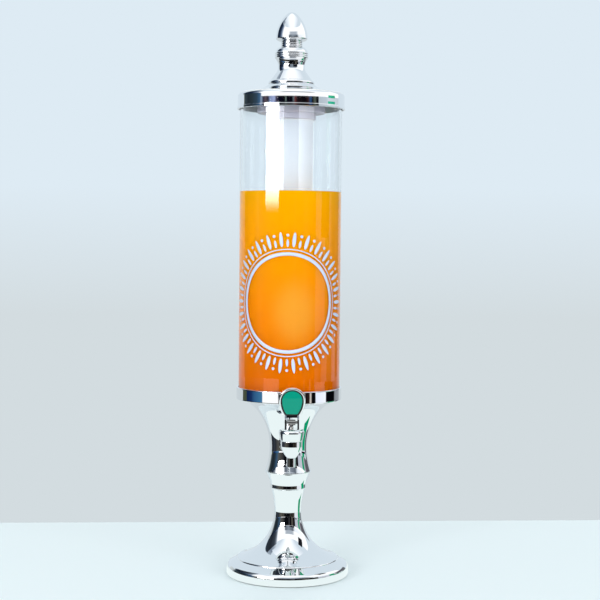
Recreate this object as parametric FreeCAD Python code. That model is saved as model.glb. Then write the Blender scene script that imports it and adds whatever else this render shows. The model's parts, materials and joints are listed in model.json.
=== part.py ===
import FreeCAD, Part
import math
import os

# Beer tower dispenser: a clear tube on a turned, weighted stand, with a lever tap, and a lid that
# carries a finial and an ice tube. Millimetres. The tower's axis is Z, the table is z = 0 and the
# tap stands out towards -Y. One function makes each piece, and each piece is one STEP file.

# ---- Clearances -----------------------------------------------------------------------------
RUN_FIT = 0.06        # radial play of a pin or stem that turns or slides in its hole
SLIP_FIT = 0.1        # radial play of a spigot that centres a fixed piece
MOVE_GAP = 0.35       # between faces that pass each other, and round a piece that lifts out
REST_GAP = 0.1        # between flat faces of two pieces that rest on each other and come apart

# ---- Stand ----------------------------------------------------------------------------------
FOOT_R = 72.5         # foot: outer radius
FOOT_SIDE_TOP = 12.8  # height of the foot's upright side
FOOT_BEAD = 0.9       # bead and groove round the top of that side
FOOT_BROW_W = 12.2    # width of the sloping brow, where the flare ends
FOOT_BROW_Z = 20.8
FOOT_STEP = 0.9       # small step between brow and flare
FOOT_H = 76.0         # height of the foot's neck
FOOT_NECK_R = 16.2    # radius of the foot's neck
FOOT_RIM_WALL = 2.7   # wall of the upright side
FOOT_WALL = 3.2       # wall of the flare
FOOT_PLUG_H = 15.0    # solid metal at the top of the neck
LEDGE_Z = 24.0        # flat ledge inside the foot that the ballast is pulled against
LEDGE_W = 9.0
COVER_LIFT = 1.2      # underside of the cover above the table
COVER_T = 2.0
COVER_GAP = 0.3       # between the cover's edge and the foot's side
RING_PAD_T = 1.7      # anti-slip ring, sunk into the cover's groove
RING_PAD_IN = 5.0     # inside the foot's edge
RING_PAD_W = 8.0
BOSS_IN = 19.5        # screw bosses of the cover inside the foot's edge
BOSS_R = 4.0
SCREW_COUNT = 4
SCREW_START = 45.0    # bearing of the first screw, in degrees
COVER_SCREW_R = 1.5
COVER_SCREW_HEAD_R = 3.0
COVER_SCREW_L = 10.0
BALLAST_IN = 27.5     # ballast's edge inside the foot's edge
BALLAST_T = 16.0
BALLAST_RECESS_R = 11.0
BALLAST_RECESS_H = 8.0
BALLAST_CHAMFER = 1.6
BALLAST_GAP = 1.0     # play round the ballast under its ledge
ROD_R = 4.0           # tie rod that pulls foot, knop and bell together
ROD_HOLE_R = 4.5
ROD_END = 1.5         # rod below its nut
WASHER_R = 9.0
WASHER_T = 1.6
NUT_FLATS = 13.0
NUT_T = 5.0

# ---- Knop, between foot and bell --------------------------------------------------------------
KNOP_H = 48.4
KNOP_BAND_Z = 28.5    # its upright band, above the knop's own base
KNOP_BAND_H = 5.0
KNOP_BAND_R = 21.5
KNOP_STEP = 0.9       # step under the band
KNOP_TOP_R = 27.4     # sharp ridge that it shares with the bell
KNOP_BORE_R = 12.0
SPIGOT_H = 4.0        # centring spigots at both ends of the knop
SPIGOT_WALL = 3.4     # wall outside the lower spigot

# ---- Bell, the funnel under the tube -----------------------------------------------------------
BELL_H = 84.0         # ridge to the end of the flare
BELL_THROAT_R = 22.4
BELL_THROAT_Z = 28.6  # narrowest place above the ridge
BELL_RIM_H = 5.2      # rim above the flare's end, which the mouth ring fits on
BELL_RIM_W = 4.0      # rim beyond the flare's end
BELL_RIM_IN = 1.0     # rim inside the tube's radius
BELL_LIP_SHARE = 0.55 # share of the flare's width in its last part, which turns out faster
BELL_LIP_H = 12.6
BELL_WALL = 2.2
BELL_FLOOR_Z = 23.6   # top of the floor above the ridge
BELL_FLOOR_T = 6.0
BELL_SOCKET_R = 19.5  # hollow under the floor, which takes the knop's upper spigot
BELL_BOSS_R = 8.0     # threaded boss for the tie rod

# ---- Tube and its mouth ring --------------------------------------------------------------------
TUBE_R = 60.0
TUBE_WALL = 3.0
TUBE_L = 352.0
TUBE_EDGE = 0.6       # polished chamfer on both ends
SEAL_T = 2.0
SEAL_W = 4.5
RING_WALL = 2.15      # mouth ring round the tube
RING_SKIRT = 3.3      # ring below the bell's rim
RING_H = 14.8
RING_SHOW = 0.5       # rim that shows below the ring
RING_EDGE = 1.3       # bevel of the ring's outer edges
LUG_COUNT = 3         # bayonet lugs on the tube
LUG_H = 3.0
LUG_OUT = 1.3         # lug beyond the tube's wall
LUG_IN = 1.0          # lug moulded into the tube's wall
LUG_ARC = 14.0        # degrees
LUG_Z = 3.0           # lug above the tube's lower end
LUG_START = 50.0      # bearing of the first lug, in degrees
TWIST = 40.0          # degrees from locked to free
TWIST_PLAY = 2.0      # degrees of groove beyond the lug at each end

# ---- Lid -----------------------------------------------------------------------------------------
LID_GAP = 1.5         # between the lid's side and the tube
LID_WALL = 1.5
LID_SKIRT = 19.4      # height of the lid's side
LID_SLOPE_WALL = 2.4  # height of metal over the ice tube holder's drum
LID_SLOPE_RISE = 4.0  # rise of the shallow slope from the side to the crown
LID_CROWN_RISE = 5.6  # rise of the hollow-curved crown up to the finial's seat
CROWN_HEADING = 170.0 # degrees at which the crown leaves the slope, which runs inwards
LID_SHOULDER = 4.5    # rounding from the side to the slope
LID_CORNER = 1.5      # bevel of the corner inside that rounding
LID_BEAD = 0.6        # rolled bead round the lower edge
LID_BEAD_H = 3.0
GASKET_T = 2.0
GASKET_W = 3.6

# ---- Ice tube and its holder -------------------------------------------------------------------
ICE_R = 26.0
ICE_WALL = 2.0
ICE_L = 300.0         # body of the ice tube, without its neck
ICE_NECK_STEP = 1.7   # shoulder between body and threaded neck
ICE_NECK_L = 19.0
ICE_SEAL_T = 0.9
PLUG_SPIGOT = 8.0
PLUG_T = 3.0
PLUG_EDGE = 1.5
COLLAR_W = 3.0        # collar beyond the ice tube
COLLAR_L = 7.4        # collar below the holder's floor
SOCKET_WALL = 2.6
HOLDER_W = 11.0       # drum beyond the collar
HOLDER_DROP = 20.5    # floor of the holder below the tube's rim
HOLDER_WALL = 2.4
HOLDER_PLATE_T = 3.0
HOLDER_EDGE = 1.2     # bevel of the holder's lower edges

# ---- Finial ---------------------------------------------------------------------------------------
SEAT_IN = 1.4         # finial's seat on the lid, inside the collar's radius
FINIAL_FOOT_R = 26.4
FINIAL_FOOT_H = 4.4
FINIAL_CONE_R = 17.7   # cone from the foot's bead up to the waist
FINIAL_CONE_Z = 14.9
FINIAL_WAIST_R = 16.0
FINIAL_WAIST_Z = 20.0  # waist above the finial's foot
FINIAL_WAIST_H = 2.5
FINIAL_KNOB_R = 19.8
FINIAL_KNOB_Z = 31.4   # lower edge of the knob
FINIAL_LIP_H = 1.7     # lip below the knob's band
FINIAL_BAND_H = 4.6
FINIAL_GROOVE = 0.7    # grooves round that band
FINIAL_NECK_R = 12.4
FINIAL_NECK_Z = 44.6
FINIAL_RIB = 0.9       # ribs round the neck
FINIAL_RIB_COUNT = 3
FINIAL_H = 51.0
FINIAL_WALL = 3.0
ACORN_R = 18.7
ACORN_H = 34.0
ACORN_SIDE_R = 39.2    # radius of its side's arc
ACORN_UNDER_R = 13.4   # foot of the acorn on the neck
ACORN_SKIRT = 2.8      # height of its undercut
ACORN_LIP = 0.7        # its blunt lower edge
ACORN_TIP_R = 1.0      # small flat on its tip
ACORN_WALL = 3.0
STUD_R = 2.5
STUD_NUT_FLATS = 8.0
STUD_NUT_T = 4.0
STUD_END = 1.0         # stud below its nut
STUD_DEPTH = 14.0      # stud inside the acorn
STUD_BOSS_R = 5.0

# ---- Tap -------------------------------------------------------------------------------------------
TAP_CLEAR = 2.0       # tap's axis beyond the tube's wall
TAP_Z = 36.1          # middle of the shank above the bell's ridge
TAP_PAD_R = 12.5      # flat-faced pad on the bell
TAP_PAD_UP = 4.1      # its outer face beyond the throat
TAP_PAD_T = 8.9
SHANK_R = 6.0         # threaded shank through the bell
SHANK_BORE_R = 3.2
SHANK_END = 1.1       # shank beyond its nut
BARREL_R = 8.0        # horizontal barrel between flange and body
FLANGE_R = 11.6
FLANGE_T = 3.0
TAP_GASKET_R = 11.0
TAP_GASKET_T = 1.5
TAP_NUT_FLATS = 17.0
TAP_NUT_T = 4.6
TAP_BODY_R = 12.3
TAP_BODY_UP = 8.4     # body's top above the shank's middle
TAP_BODY_H = 5.9      # upright part of the body
BOWL_H = 13.0         # rounded bottom between body and spout
BOWL_STEP = 0.8       # bowl's foot beyond the spout
BOWL_HEADING = 52.0   # degrees at which the bowl leaves the spout
SPOUT_R = 5.2
SPOUT_BORE_R = 3.4
SPOUT_L = 11.2
SPOUT_EDGE = 0.5
CHAMBER_R = 8.0
SEAT_DROP = 5.0       # valve seat below the shank's middle
SEAT_R = 6.0
BONNET_R = 14.75
BONNET_H = 13.8
BONNET_TOP_R = 10.0
BONNET_DOME = 3.6
BONNET_EDGE = 0.8
BONNET_SKIRT_L = 2.0  # threaded part inside the body
BONNET_BORE_R = 6.6
BONNET_ROOF = 3.6
SPRING_WIRE = 0.9
SPRING_R = 4.6        # middle of the wire
SPRING_TURNS = 4
STEM_R = 2.1
STEM_FLANGE_R = 6.2
STEM_FLANGE_T = 1.6
CUP_R = 5.6           # rubber valve cup on the stem's foot
CUP_T = 3.2
CUP_WALL = 1.2        # rubber under the stem's foot
EYE_R = 3.3           # eye on the stem's head, round the lever's pin
EYE_W = 8.6

# ---- Lever -----------------------------------------------------------------------------------------
PIN_R = 1.5
PIN_UP = 7.2          # pin's axis above the lever's heel
FORK_W = 16.4
FORK_CHEEK = 1.9
FORK_SLOT = 6.0       # top of the slot above the pin
HEEL_FRONT = 7.4      # heel's front corner before the pin
HEEL_BACK = 4.6
LEVER_LEAN = 15.0     # degrees that the paddle leans towards the user
LEVER_T = 5.0
PADDLE_BOTTOM = 7.0   # distances along the paddle from the pin
PADDLE_TOP = 43.0
PADDLE_R = 15.4       # half its width
PADDLE_EDGE = 0.9     # bevel round the paddle
BADGE_RIM = 2.4       # metal rim round the badge's recess
BADGE_GAP = 1.5       # groove between rim and badge
BADGE_T = 1.4
BADGE_SINK = 1.1      # depth of the recess

# ---- Radii that follow from the sizes above ---------------------------------------------------------
FOOT_BROW_R = FOOT_R - FOOT_BROW_W
RING_PAD_R = FOOT_R - RING_PAD_IN
BOSS_CIRCLE_R = FOOT_R - BOSS_IN
BALLAST_R = FOOT_R - BALLAST_IN
LEDGE_R = BALLAST_R + 2 * BALLAST_GAP
LEDGE_IN_R = LEDGE_R - LEDGE_W
BELL_RIM_R = TUBE_R - BELL_RIM_IN
BELL_FLARE_R = BELL_RIM_R - BELL_RIM_W
BELL_LIP_W = BELL_LIP_SHARE * (BELL_FLARE_R - BELL_THROAT_R)
TAP_PAD_OUT = BELL_THROAT_R + TAP_PAD_UP
TAP_PAD_IN = TAP_PAD_OUT - TAP_PAD_T
TAP_OUT = TUBE_R + TAP_CLEAR
RING_BORE_R = TUBE_R + MOVE_GAP
RING_R = RING_BORE_R + RING_WALL
LID_IN_R = TUBE_R + LID_GAP
LID_R = LID_IN_R + LID_WALL
ICE_NECK_R = ICE_R - ICE_NECK_STEP
COLLAR_R = ICE_R + COLLAR_W
SOCKET_R = ICE_NECK_R + MOVE_GAP
HOLDER_R = COLLAR_R + HOLDER_W
LID_SEAT_R = COLLAR_R - SEAT_IN
STUD_HOLE_R = STUD_R + SLIP_FIT

# ---- Levels, from the table up -----------------------------------------------------------------------
Z_NUT_SEAT = LEDGE_Z - BALLAST_T + BALLAST_RECESS_H
Z_KNOP = FOOT_H
Z_RIDGE = Z_KNOP + KNOP_H
Z_FLARE_END = Z_RIDGE + BELL_H
Z_RIM = Z_FLARE_END + BELL_RIM_H
Z_TUBE = Z_RIM + SEAL_T + REST_GAP
Z_TUBE_TOP = Z_TUBE + TUBE_L
Z_CEILING = Z_TUBE_TOP + REST_GAP + GASKET_T
Z_LID_SIDE = Z_CEILING + LID_WALL
Z_LID_EDGE = Z_LID_SIDE - LID_SKIRT
Z_CROWN = Z_LID_SIDE + LID_SLOPE_RISE
Z_FINIAL = Z_CROWN + LID_CROWN_RISE
Z_DRUM_TOP = Z_CROWN - LID_SLOPE_WALL
Z_PLATE = Z_FINIAL - LID_WALL
Z_ACORN = Z_FINIAL + FINIAL_H
Z_HOLDER = Z_TUBE_TOP - HOLDER_DROP
Z_COLLAR = Z_HOLDER - COLLAR_L
Z_ICE_SHOULDER = Z_COLLAR - REST_GAP - ICE_SEAL_T
Z_ICE_END = Z_ICE_SHOULDER - ICE_L
Z_SHANK = Z_RIDGE + TAP_Z
Z_BONNET = Z_SHANK + TAP_BODY_UP
Z_BONNET_TOP = Z_BONNET + BONNET_H
Z_PIN = Z_BONNET_TOP + MOVE_GAP + PIN_UP
Z_BOWL = Z_BONNET - TAP_BODY_H
Z_SPOUT = Z_BOWL - BOWL_H
Z_SPOUT_END = Z_SPOUT - SPOUT_L
Z_SEAT = Z_SHANK - SEAT_DROP
Z_STEM_FLANGE = Z_BONNET + REST_GAP
TAP_X, TAP_Y = 0.0, -TAP_OUT

BAND_TURN = 12.0      # degrees between the straight bands of a bent surface
UP = FreeCAD.Vector(0, 0, 1)
RIGHT = FreeCAD.Vector(1, 0, 0)
BACK = FreeCAD.Vector(0, 1, 0)
ORIGIN = FreeCAD.Vector(0, 0, 0)


class Outline:
    """Flat outline in the XZ plane, drawn point by point: radius or width, then height."""

    def __init__(self, r, z):
        self.first = self.last = FreeCAD.Vector(r, 0, z)
        self.heading = 0.0
        self.edges = []

    def line(self, *places):
        """Straight edges through the places given."""
        for r, z in places:
            end = FreeCAD.Vector(r, 0, z)
            run = end - self.last
            self.edges.append(Part.LineSegment(self.last, end).toShape())
            self.heading = math.degrees(math.atan2(run.z, run.x))
            self.last = end
        return self

    def arc(self, r, z, leave=None, arrive=None):
        """Round edge that leaves or arrives at a heading (0 outwards, 90 up), or else carries on
        smoothly from the edge before. Its middle stands off the chord by half the chord times the
        tangent of half the angle between heading and chord."""
        end = FreeCAD.Vector(r, 0, z)
        run = end - self.last
        chord = math.degrees(math.atan2(run.z, run.x))
        if arrive is not None:
            leave = 2 * chord - arrive
        if leave is None:
            leave = self.heading
        turn = (chord - leave + 180) % 360 - 180
        side = FreeCAD.Vector(run.z, 0, -run.x) * 0.5
        middle = self.last + run * 0.5 + side * math.tan(math.radians(turn / 2))
        self.edges.append(Part.Arc(self.last, middle, end).toShape())
        self.heading = chord + turn
        self.last = end
        return self

    def bend(self, r, z, leave=None, arrive=None):
        """The same round edge drawn as straight bands, each turned BAND_TURN or less from the
        one before, so that a turned piece keeps few facets."""
        start = self.last
        arc = self.arc(r, z, leave, arrive).edges.pop()
        end_heading = self.heading
        bands = math.ceil(arc.Length / arc.Curve.Radius / math.radians(BAND_TURN))
        places = [(place.x, place.z) for place in arc.discretize(bands + 1)[1:-1]]
        self.last = start
        self.line(*places, (r, z))
        self.heading = end_heading
        return self

    def face(self):
        """The outline closed by a straight edge, as a face."""
        if self.last != self.first:
            self.edges.append(Part.LineSegment(self.last, self.first).toShape())
        return Part.Face(Part.Wire(self.edges))

    def turned(self, x=0.0, y=0.0):
        """The outline turned about Z and stood at x, y."""
        solid = self.face().revolve(ORIGIN, UP, 360)
        solid.translate(FreeCAD.Vector(x, y, 0))
        return solid


def rod(r, z0, z1, x=0.0, y=0.0):
    """Upright cylinder between two heights."""
    return Part.makeCylinder(r, z1 - z0, FreeCAD.Vector(x, y, z0), UP)


def washer(r_in, r_out, z0, z1, x=0.0, y=0.0):
    """Upright ring between two heights."""
    return rod(r_out, z0, z1, x, y).cut(rod(r_in, z0, z1, x, y))


def rod_to_tower(r, y0, y1):
    """Cylinder on the shank's axis, between two distances from the tower's axis."""
    start = FreeCAD.Vector(TAP_X, y0, Z_SHANK)
    return Part.makeCylinder(r, y1 - y0, start, BACK)


def hexagon(flats, thickness, base, axis):
    """Hexagonal prism on a base point along an axis."""
    corner = flats / math.sqrt(3)
    across = RIGHT if abs(axis.x) < 0.5 else BACK
    spin = FreeCAD.Rotation(axis, 60)
    arm = across * corner
    corners = []
    for _ in range(6):
        corners.append(base + arm)
        arm = spin.multVec(arm)
    face = Part.Face(Part.makePolygon(corners + corners[:1]))
    return face.extrude(axis * thickness)


def around(shape, count, start=0.0):
    """The shape repeated about the tower's axis, as separate solids."""
    copies = []
    for i in range(count):
        copy = shape.copy()
        copy.rotate(ORIGIN, UP, start + 360.0 * i / count)
        copies.append(copy)
    return Part.makeCompound(copies)


def ring_sector(r_in, r_out, z0, z1, first, last):
    """Piece of a ring between two bearings in degrees."""
    corner = FreeCAD.Vector(r_in, 0, z0)
    section = Part.makePolygon([
        corner,
        FreeCAD.Vector(r_out, 0, z0),
        FreeCAD.Vector(r_out, 0, z1),
        FreeCAD.Vector(r_in, 0, z1),
        corner,
    ])
    sector = Part.Face(section).revolve(ORIGIN, UP, last - first)
    sector.rotate(ORIGIN, UP, first)
    return sector


# ---- Stand -------------------------------------------------------------------------------------------
def foot():
    """Flared foot: upright side, bead, sloping brow, hollow-curved flare and a slim neck."""
    side_r = FOOT_R - FOOT_BEAD
    bead_top = FOOT_SIDE_TOP + 2 * FOOT_BEAD
    outer = Outline(0, COVER_LIFT).line((side_r, COVER_LIFT), (FOOT_R, COVER_LIFT + FOOT_BEAD))
    outer.line((FOOT_R, FOOT_SIDE_TOP), (side_r, FOOT_SIDE_TOP + FOOT_BEAD / 2))
    outer.line((FOOT_R, FOOT_SIDE_TOP + FOOT_BEAD), (side_r, bead_top), (FOOT_BROW_R, FOOT_BROW_Z))
    outer.line((FOOT_BROW_R - FOOT_STEP, FOOT_BROW_Z + FOOT_STEP))
    outer.line((FOOT_BROW_R - 2 * FOOT_STEP, FOOT_BROW_Z + FOOT_STEP))
    outer.bend(FOOT_NECK_R, FOOT_H, arrive=90).line((0, FOOT_H))

    hollow_r = FOOT_R - FOOT_RIM_WALL
    plug_z = FOOT_H - FOOT_PLUG_H
    hollow = Outline(0, COVER_LIFT).line(
        (hollow_r, COVER_LIFT),
        (hollow_r, FOOT_SIDE_TOP - FOOT_WALL / 2),
        (LEDGE_R, LEDGE_Z - FOOT_WALL / 2),
        (LEDGE_R, LEDGE_Z),
        (LEDGE_IN_R, LEDGE_Z),
        (FOOT_NECK_R + FOOT_WALL, (LEDGE_Z + plug_z) / 2 - FOOT_WALL),
        (FOOT_NECK_R - FOOT_WALL, plug_z),
        (0, plug_z),
    )
    shell = outer.turned().cut(hollow.turned())
    boss = rod(BOSS_R, COVER_LIFT + COVER_T, FOOT_BROW_Z, BOSS_CIRCLE_R)
    shell = shell.fuse(around(boss, SCREW_COUNT, SCREW_START).Solids)
    shell = shell.cut(rod(ROD_HOLE_R, plug_z, FOOT_H))
    socket_r = FOOT_NECK_R - SPIGOT_WALL + SLIP_FIT
    shell = shell.cut(rod(socket_r, FOOT_H - SPIGOT_H - SLIP_FIT, FOOT_H))
    pilot = rod(COVER_SCREW_R, COVER_LIFT, COVER_LIFT + COVER_SCREW_L, BOSS_CIRCLE_R)
    return shell.cut(around(pilot, SCREW_COUNT, SCREW_START))


def cover_screw():
    """One countersunk screw, from the cover's underside up."""
    head_h = COVER_SCREW_HEAD_R - COVER_SCREW_R
    head = Outline(0, COVER_LIFT).line(
        (COVER_SCREW_HEAD_R, COVER_LIFT),
        (COVER_SCREW_R, COVER_LIFT + head_h),
        (COVER_SCREW_R, COVER_LIFT + COVER_SCREW_L),
        (0, COVER_LIFT + COVER_SCREW_L),
    )
    return head.turned(BOSS_CIRCLE_R)


def bottom_cover():
    """Plastic disc that closes the foot, with a groove for the anti-slip ring."""
    disc = rod(FOOT_R - FOOT_RIM_WALL - COVER_GAP, COVER_LIFT, COVER_LIFT + COVER_T)
    disc = disc.cut(washer(RING_PAD_R - RING_PAD_W, RING_PAD_R, COVER_LIFT, RING_PAD_T))
    return disc.cut(around(cover_screw(), SCREW_COUNT, SCREW_START))


def cover_screws():
    """Countersunk screws of the bottom cover."""
    return around(cover_screw(), SCREW_COUNT, SCREW_START)


def anti_slip_ring():
    """Rubber ring that the tower stands on."""
    return washer(RING_PAD_R - RING_PAD_W, RING_PAD_R, 0, RING_PAD_T)


def ballast_disc():
    """Cast weight, pulled up against the foot's ledge, with a recess for nut and washer."""
    bottom = LEDGE_Z - BALLAST_T
    chamfer = BALLAST_CHAMFER
    disc = Outline(ROD_HOLE_R, LEDGE_Z).line(
        (ROD_HOLE_R, Z_NUT_SEAT),
        (BALLAST_RECESS_R, Z_NUT_SEAT),
        (BALLAST_RECESS_R, bottom),
        (BALLAST_R - chamfer, bottom),
        (BALLAST_R, bottom + chamfer),
        (BALLAST_R, LEDGE_Z),
    )
    return disc.turned()


def tie_rod():
    """Threaded rod from the ballast up into the bell's boss."""
    low = Z_NUT_SEAT - WASHER_T - NUT_T - ROD_END
    return rod(ROD_R, low, Z_RIDGE + BELL_FLOOR_Z - BELL_FLOOR_T / 2)


def tie_rod_washer():
    """Flat washer under the ballast."""
    return washer(ROD_R + SLIP_FIT, WASHER_R, Z_NUT_SEAT - WASHER_T, Z_NUT_SEAT)


def tie_rod_nut():
    """Hexagonal nut that tightens the stand."""
    top = Z_NUT_SEAT - WASHER_T
    nut = hexagon(NUT_FLATS, NUT_T, FreeCAD.Vector(0, 0, top - NUT_T), UP)
    return nut.cut(rod(ROD_R, top - NUT_T, top))


def neck_knop():
    """Turned link: slim neck, upright band and a ridge, with a centring spigot at each end."""
    band = Z_KNOP + KNOP_BAND_Z
    lower_spigot_r = FOOT_NECK_R - SPIGOT_WALL
    upper_spigot_r = BELL_SOCKET_R - SLIP_FIT
    shape = Outline(ROD_HOLE_R, Z_KNOP - SPIGOT_H)
    shape.line((lower_spigot_r, Z_KNOP - SPIGOT_H), (lower_spigot_r, Z_KNOP), (FOOT_NECK_R, Z_KNOP))
    shape.bend(KNOP_BAND_R - KNOP_STEP, band - KNOP_STEP, leave=90)
    shape.line((KNOP_BAND_R, band), (KNOP_BAND_R, band + KNOP_BAND_H), (KNOP_TOP_R, Z_RIDGE))
    shape.line((upper_spigot_r, Z_RIDGE), (upper_spigot_r, Z_RIDGE + SPIGOT_H))
    shape.line((KNOP_BORE_R, Z_RIDGE + SPIGOT_H), (KNOP_BORE_R, Z_KNOP + SPIGOT_H))
    shape.line((ROD_HOLE_R, Z_KNOP + SPIGOT_H))
    return shape.turned()


# ---- Bell, mouth ring and tube --------------------------------------------------------------------------
def bell_housing():
    """Hollow bell: funnel above its floor, socket and threaded boss below it, pad for the tap."""
    throat = Z_RIDGE + BELL_THROAT_Z
    floor = Z_RIDGE + BELL_FLOOR_Z
    under = floor - BELL_FLOOR_T
    outer = Outline(0, Z_RIDGE).line((KNOP_TOP_R, Z_RIDGE))
    outer.bend(BELL_THROAT_R, throat, arrive=90)
    outer.bend(BELL_FLARE_R - BELL_LIP_W, Z_FLARE_END - BELL_LIP_H).bend(BELL_FLARE_R, Z_FLARE_END)
    outer.line((BELL_RIM_R, Z_RIM - RING_SKIRT - RING_SHOW), (BELL_RIM_R, Z_RIM), (0, Z_RIM))

    throat_in = BELL_THROAT_R - BELL_WALL
    lip_in = BELL_FLARE_R - BELL_LIP_W - BELL_WALL
    funnel = Outline(0, floor).line(
        (throat_in, floor),
        (throat_in, throat),
        (throat_in + BELL_WALL, Z_FLARE_END - 2 * BELL_LIP_H - BELL_WALL),
        (lip_in, Z_FLARE_END - BELL_LIP_H),
        (BELL_FLARE_R - BELL_WALL, Z_FLARE_END + BELL_WALL),
        (BELL_FLARE_R - BELL_WALL, Z_RIM),
        (0, Z_RIM),
    )
    socket = washer(BELL_BOSS_R, BELL_SOCKET_R, Z_RIDGE + SPIGOT_H, under)
    socket = socket.fuse(rod(BELL_SOCKET_R, Z_RIDGE, Z_RIDGE + SPIGOT_H))
    bell = outer.turned().cut(funnel.turned()).cut(socket)
    bell = bell.fuse(rod_to_tower(TAP_PAD_R, -TAP_PAD_OUT, -TAP_PAD_IN))
    bell = bell.cut(rod_to_tower(SHANK_R + SLIP_FIT, -TAP_PAD_OUT, -TAP_PAD_IN))
    return bell.cut(rod(ROD_R, Z_RIDGE, floor - BELL_FLOOR_T / 2))


def mouth_ring():
    """Band round the tube's foot: it grips the bell's rim and holds the tube by its lugs."""
    bottom = Z_RIM - RING_SKIRT
    top = bottom + RING_H
    band = Outline(BELL_RIM_R, bottom).line((RING_R - RING_EDGE, bottom))
    band.line((RING_R, bottom + RING_EDGE), (RING_R, top - RING_EDGE), (RING_R - RING_EDGE, top))
    band.line((RING_BORE_R, top), (RING_BORE_R, Z_RIM), (BELL_RIM_R, Z_RIM))
    groove_r = TUBE_R + LUG_OUT + MOVE_GAP
    low = Z_TUBE + LUG_Z - MOVE_GAP
    high = Z_TUBE + LUG_Z + LUG_H + MOVE_GAP
    half = LUG_ARC / 2 + TWIST_PLAY
    groove = ring_sector(TUBE_R, groove_r, low, high, -half, TWIST + half)
    entry = ring_sector(TUBE_R, groove_r, low, top, TWIST - half, TWIST + half)
    slot = groove.fuse(entry).removeSplitter()
    return band.turned().cut(around(slot, LUG_COUNT, LUG_START))


def tube_seal():
    """Flat rubber ring between the bell's rim and the tube."""
    return washer(TUBE_R - SLIP_FIT - SEAL_W, TUBE_R - SLIP_FIT, Z_RIM, Z_RIM + SEAL_T)


def tower_tube():
    """Clear tube with chamfered ends and bayonet lugs near its foot."""
    bore = TUBE_R - TUBE_WALL
    wall = Outline(bore, Z_TUBE).line(
        (TUBE_R - TUBE_EDGE, Z_TUBE),
        (TUBE_R, Z_TUBE + TUBE_EDGE),
        (TUBE_R, Z_TUBE_TOP - TUBE_EDGE),
        (TUBE_R - TUBE_EDGE, Z_TUBE_TOP),
        (bore, Z_TUBE_TOP),
    )
    low = Z_TUBE + LUG_Z
    lug = ring_sector(TUBE_R - LUG_IN, TUBE_R + LUG_OUT, low, low + LUG_H, -LUG_ARC / 2, LUG_ARC / 2)
    return wall.turned().fuse(around(lug, LUG_COUNT, LUG_START).Solids).removeSplitter()


# ---- Lid, ice tube and finial -----------------------------------------------------------------------------
def lid_shell():
    """Pressed lid: upright side with a rolled edge, shallow slope and a raised seat in the middle."""
    bead_top = Z_LID_EDGE + LID_BEAD_H
    shell = Outline(LID_IN_R, Z_LID_EDGE).line((LID_R, Z_LID_EDGE))
    shell.line((LID_R + LID_BEAD, Z_LID_EDGE + LID_BEAD), (LID_R + LID_BEAD, bead_top - LID_BEAD))
    shell.line((LID_R, bead_top), (LID_R, Z_LID_SIDE - LID_SHOULDER))
    shell.bend(LID_R - LID_SHOULDER, Z_LID_SIDE, leave=90)
    shell.line((HOLDER_R, Z_CROWN)).bend(LID_SEAT_R, Z_FINIAL, leave=CROWN_HEADING)
    shell.line((STUD_HOLE_R, Z_FINIAL), (STUD_HOLE_R, Z_PLATE), (LID_SEAT_R - LID_WALL, Z_PLATE))
    shell.line((HOLDER_R - HOLDER_WALL, Z_DRUM_TOP), (HOLDER_R + LID_WALL, Z_DRUM_TOP))
    shell.line((TUBE_R - GASKET_W, Z_CEILING), (LID_IN_R - LID_CORNER, Z_CEILING))
    shell.line((LID_IN_R, Z_CEILING - LID_CORNER))
    return shell.turned()


def lid_gasket():
    """Silicone ring in the lid, which sits on the tube's rim."""
    return washer(TUBE_R - GASKET_W, TUBE_R, Z_CEILING - GASKET_T, Z_CEILING)


def ice_tube_holder():
    """Moulded cup under the lid: drum, floor, collar and the threaded socket with its top plate."""
    socket_out = SOCKET_R + SOCKET_WALL
    drum_in = HOLDER_R - HOLDER_WALL
    floor_top = Z_HOLDER + HOLDER_WALL
    cup = Outline(SOCKET_R, Z_COLLAR).line((COLLAR_R - HOLDER_EDGE, Z_COLLAR))
    cup.line((COLLAR_R, Z_COLLAR + HOLDER_EDGE))
    cup.line((COLLAR_R, Z_HOLDER), (HOLDER_R - HOLDER_EDGE, Z_HOLDER))
    cup.line((HOLDER_R, Z_HOLDER + HOLDER_EDGE), (HOLDER_R, Z_DRUM_TOP))
    cup.line((drum_in, Z_DRUM_TOP), (drum_in, floor_top))
    cup.line((socket_out, floor_top), (socket_out, Z_PLATE - HOLDER_PLATE_T))
    cup.line((LID_SEAT_R - 2 * LID_WALL, Z_PLATE), (STUD_HOLE_R, Z_PLATE))
    cup.line((STUD_HOLE_R, Z_PLATE - HOLDER_PLATE_T), (SOCKET_R, Z_PLATE - HOLDER_PLATE_T))
    return cup.turned()


def ice_tube():
    """Tube for ice, with a slimmer threaded neck that screws into the holder."""
    bore = ICE_R - ICE_WALL
    neck_bore = ICE_NECK_R - ICE_WALL
    neck_top = Z_ICE_SHOULDER + ICE_NECK_L
    wall = Outline(bore, Z_ICE_END).line((ICE_R, Z_ICE_END), (ICE_R, Z_ICE_SHOULDER))
    wall.line((ICE_NECK_R, Z_ICE_SHOULDER), (ICE_NECK_R, neck_top), (neck_bore, neck_top))
    wall.line((neck_bore, Z_ICE_SHOULDER - ICE_WALL), (bore, Z_ICE_SHOULDER - 2 * ICE_WALL))
    return wall.turned()


def ice_tube_seal():
    """Rubber ring between the ice tube's shoulder and the holder's collar."""
    return washer(ICE_NECK_R + SLIP_FIT, ICE_R, Z_ICE_SHOULDER, Z_ICE_SHOULDER + ICE_SEAL_T)


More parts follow.
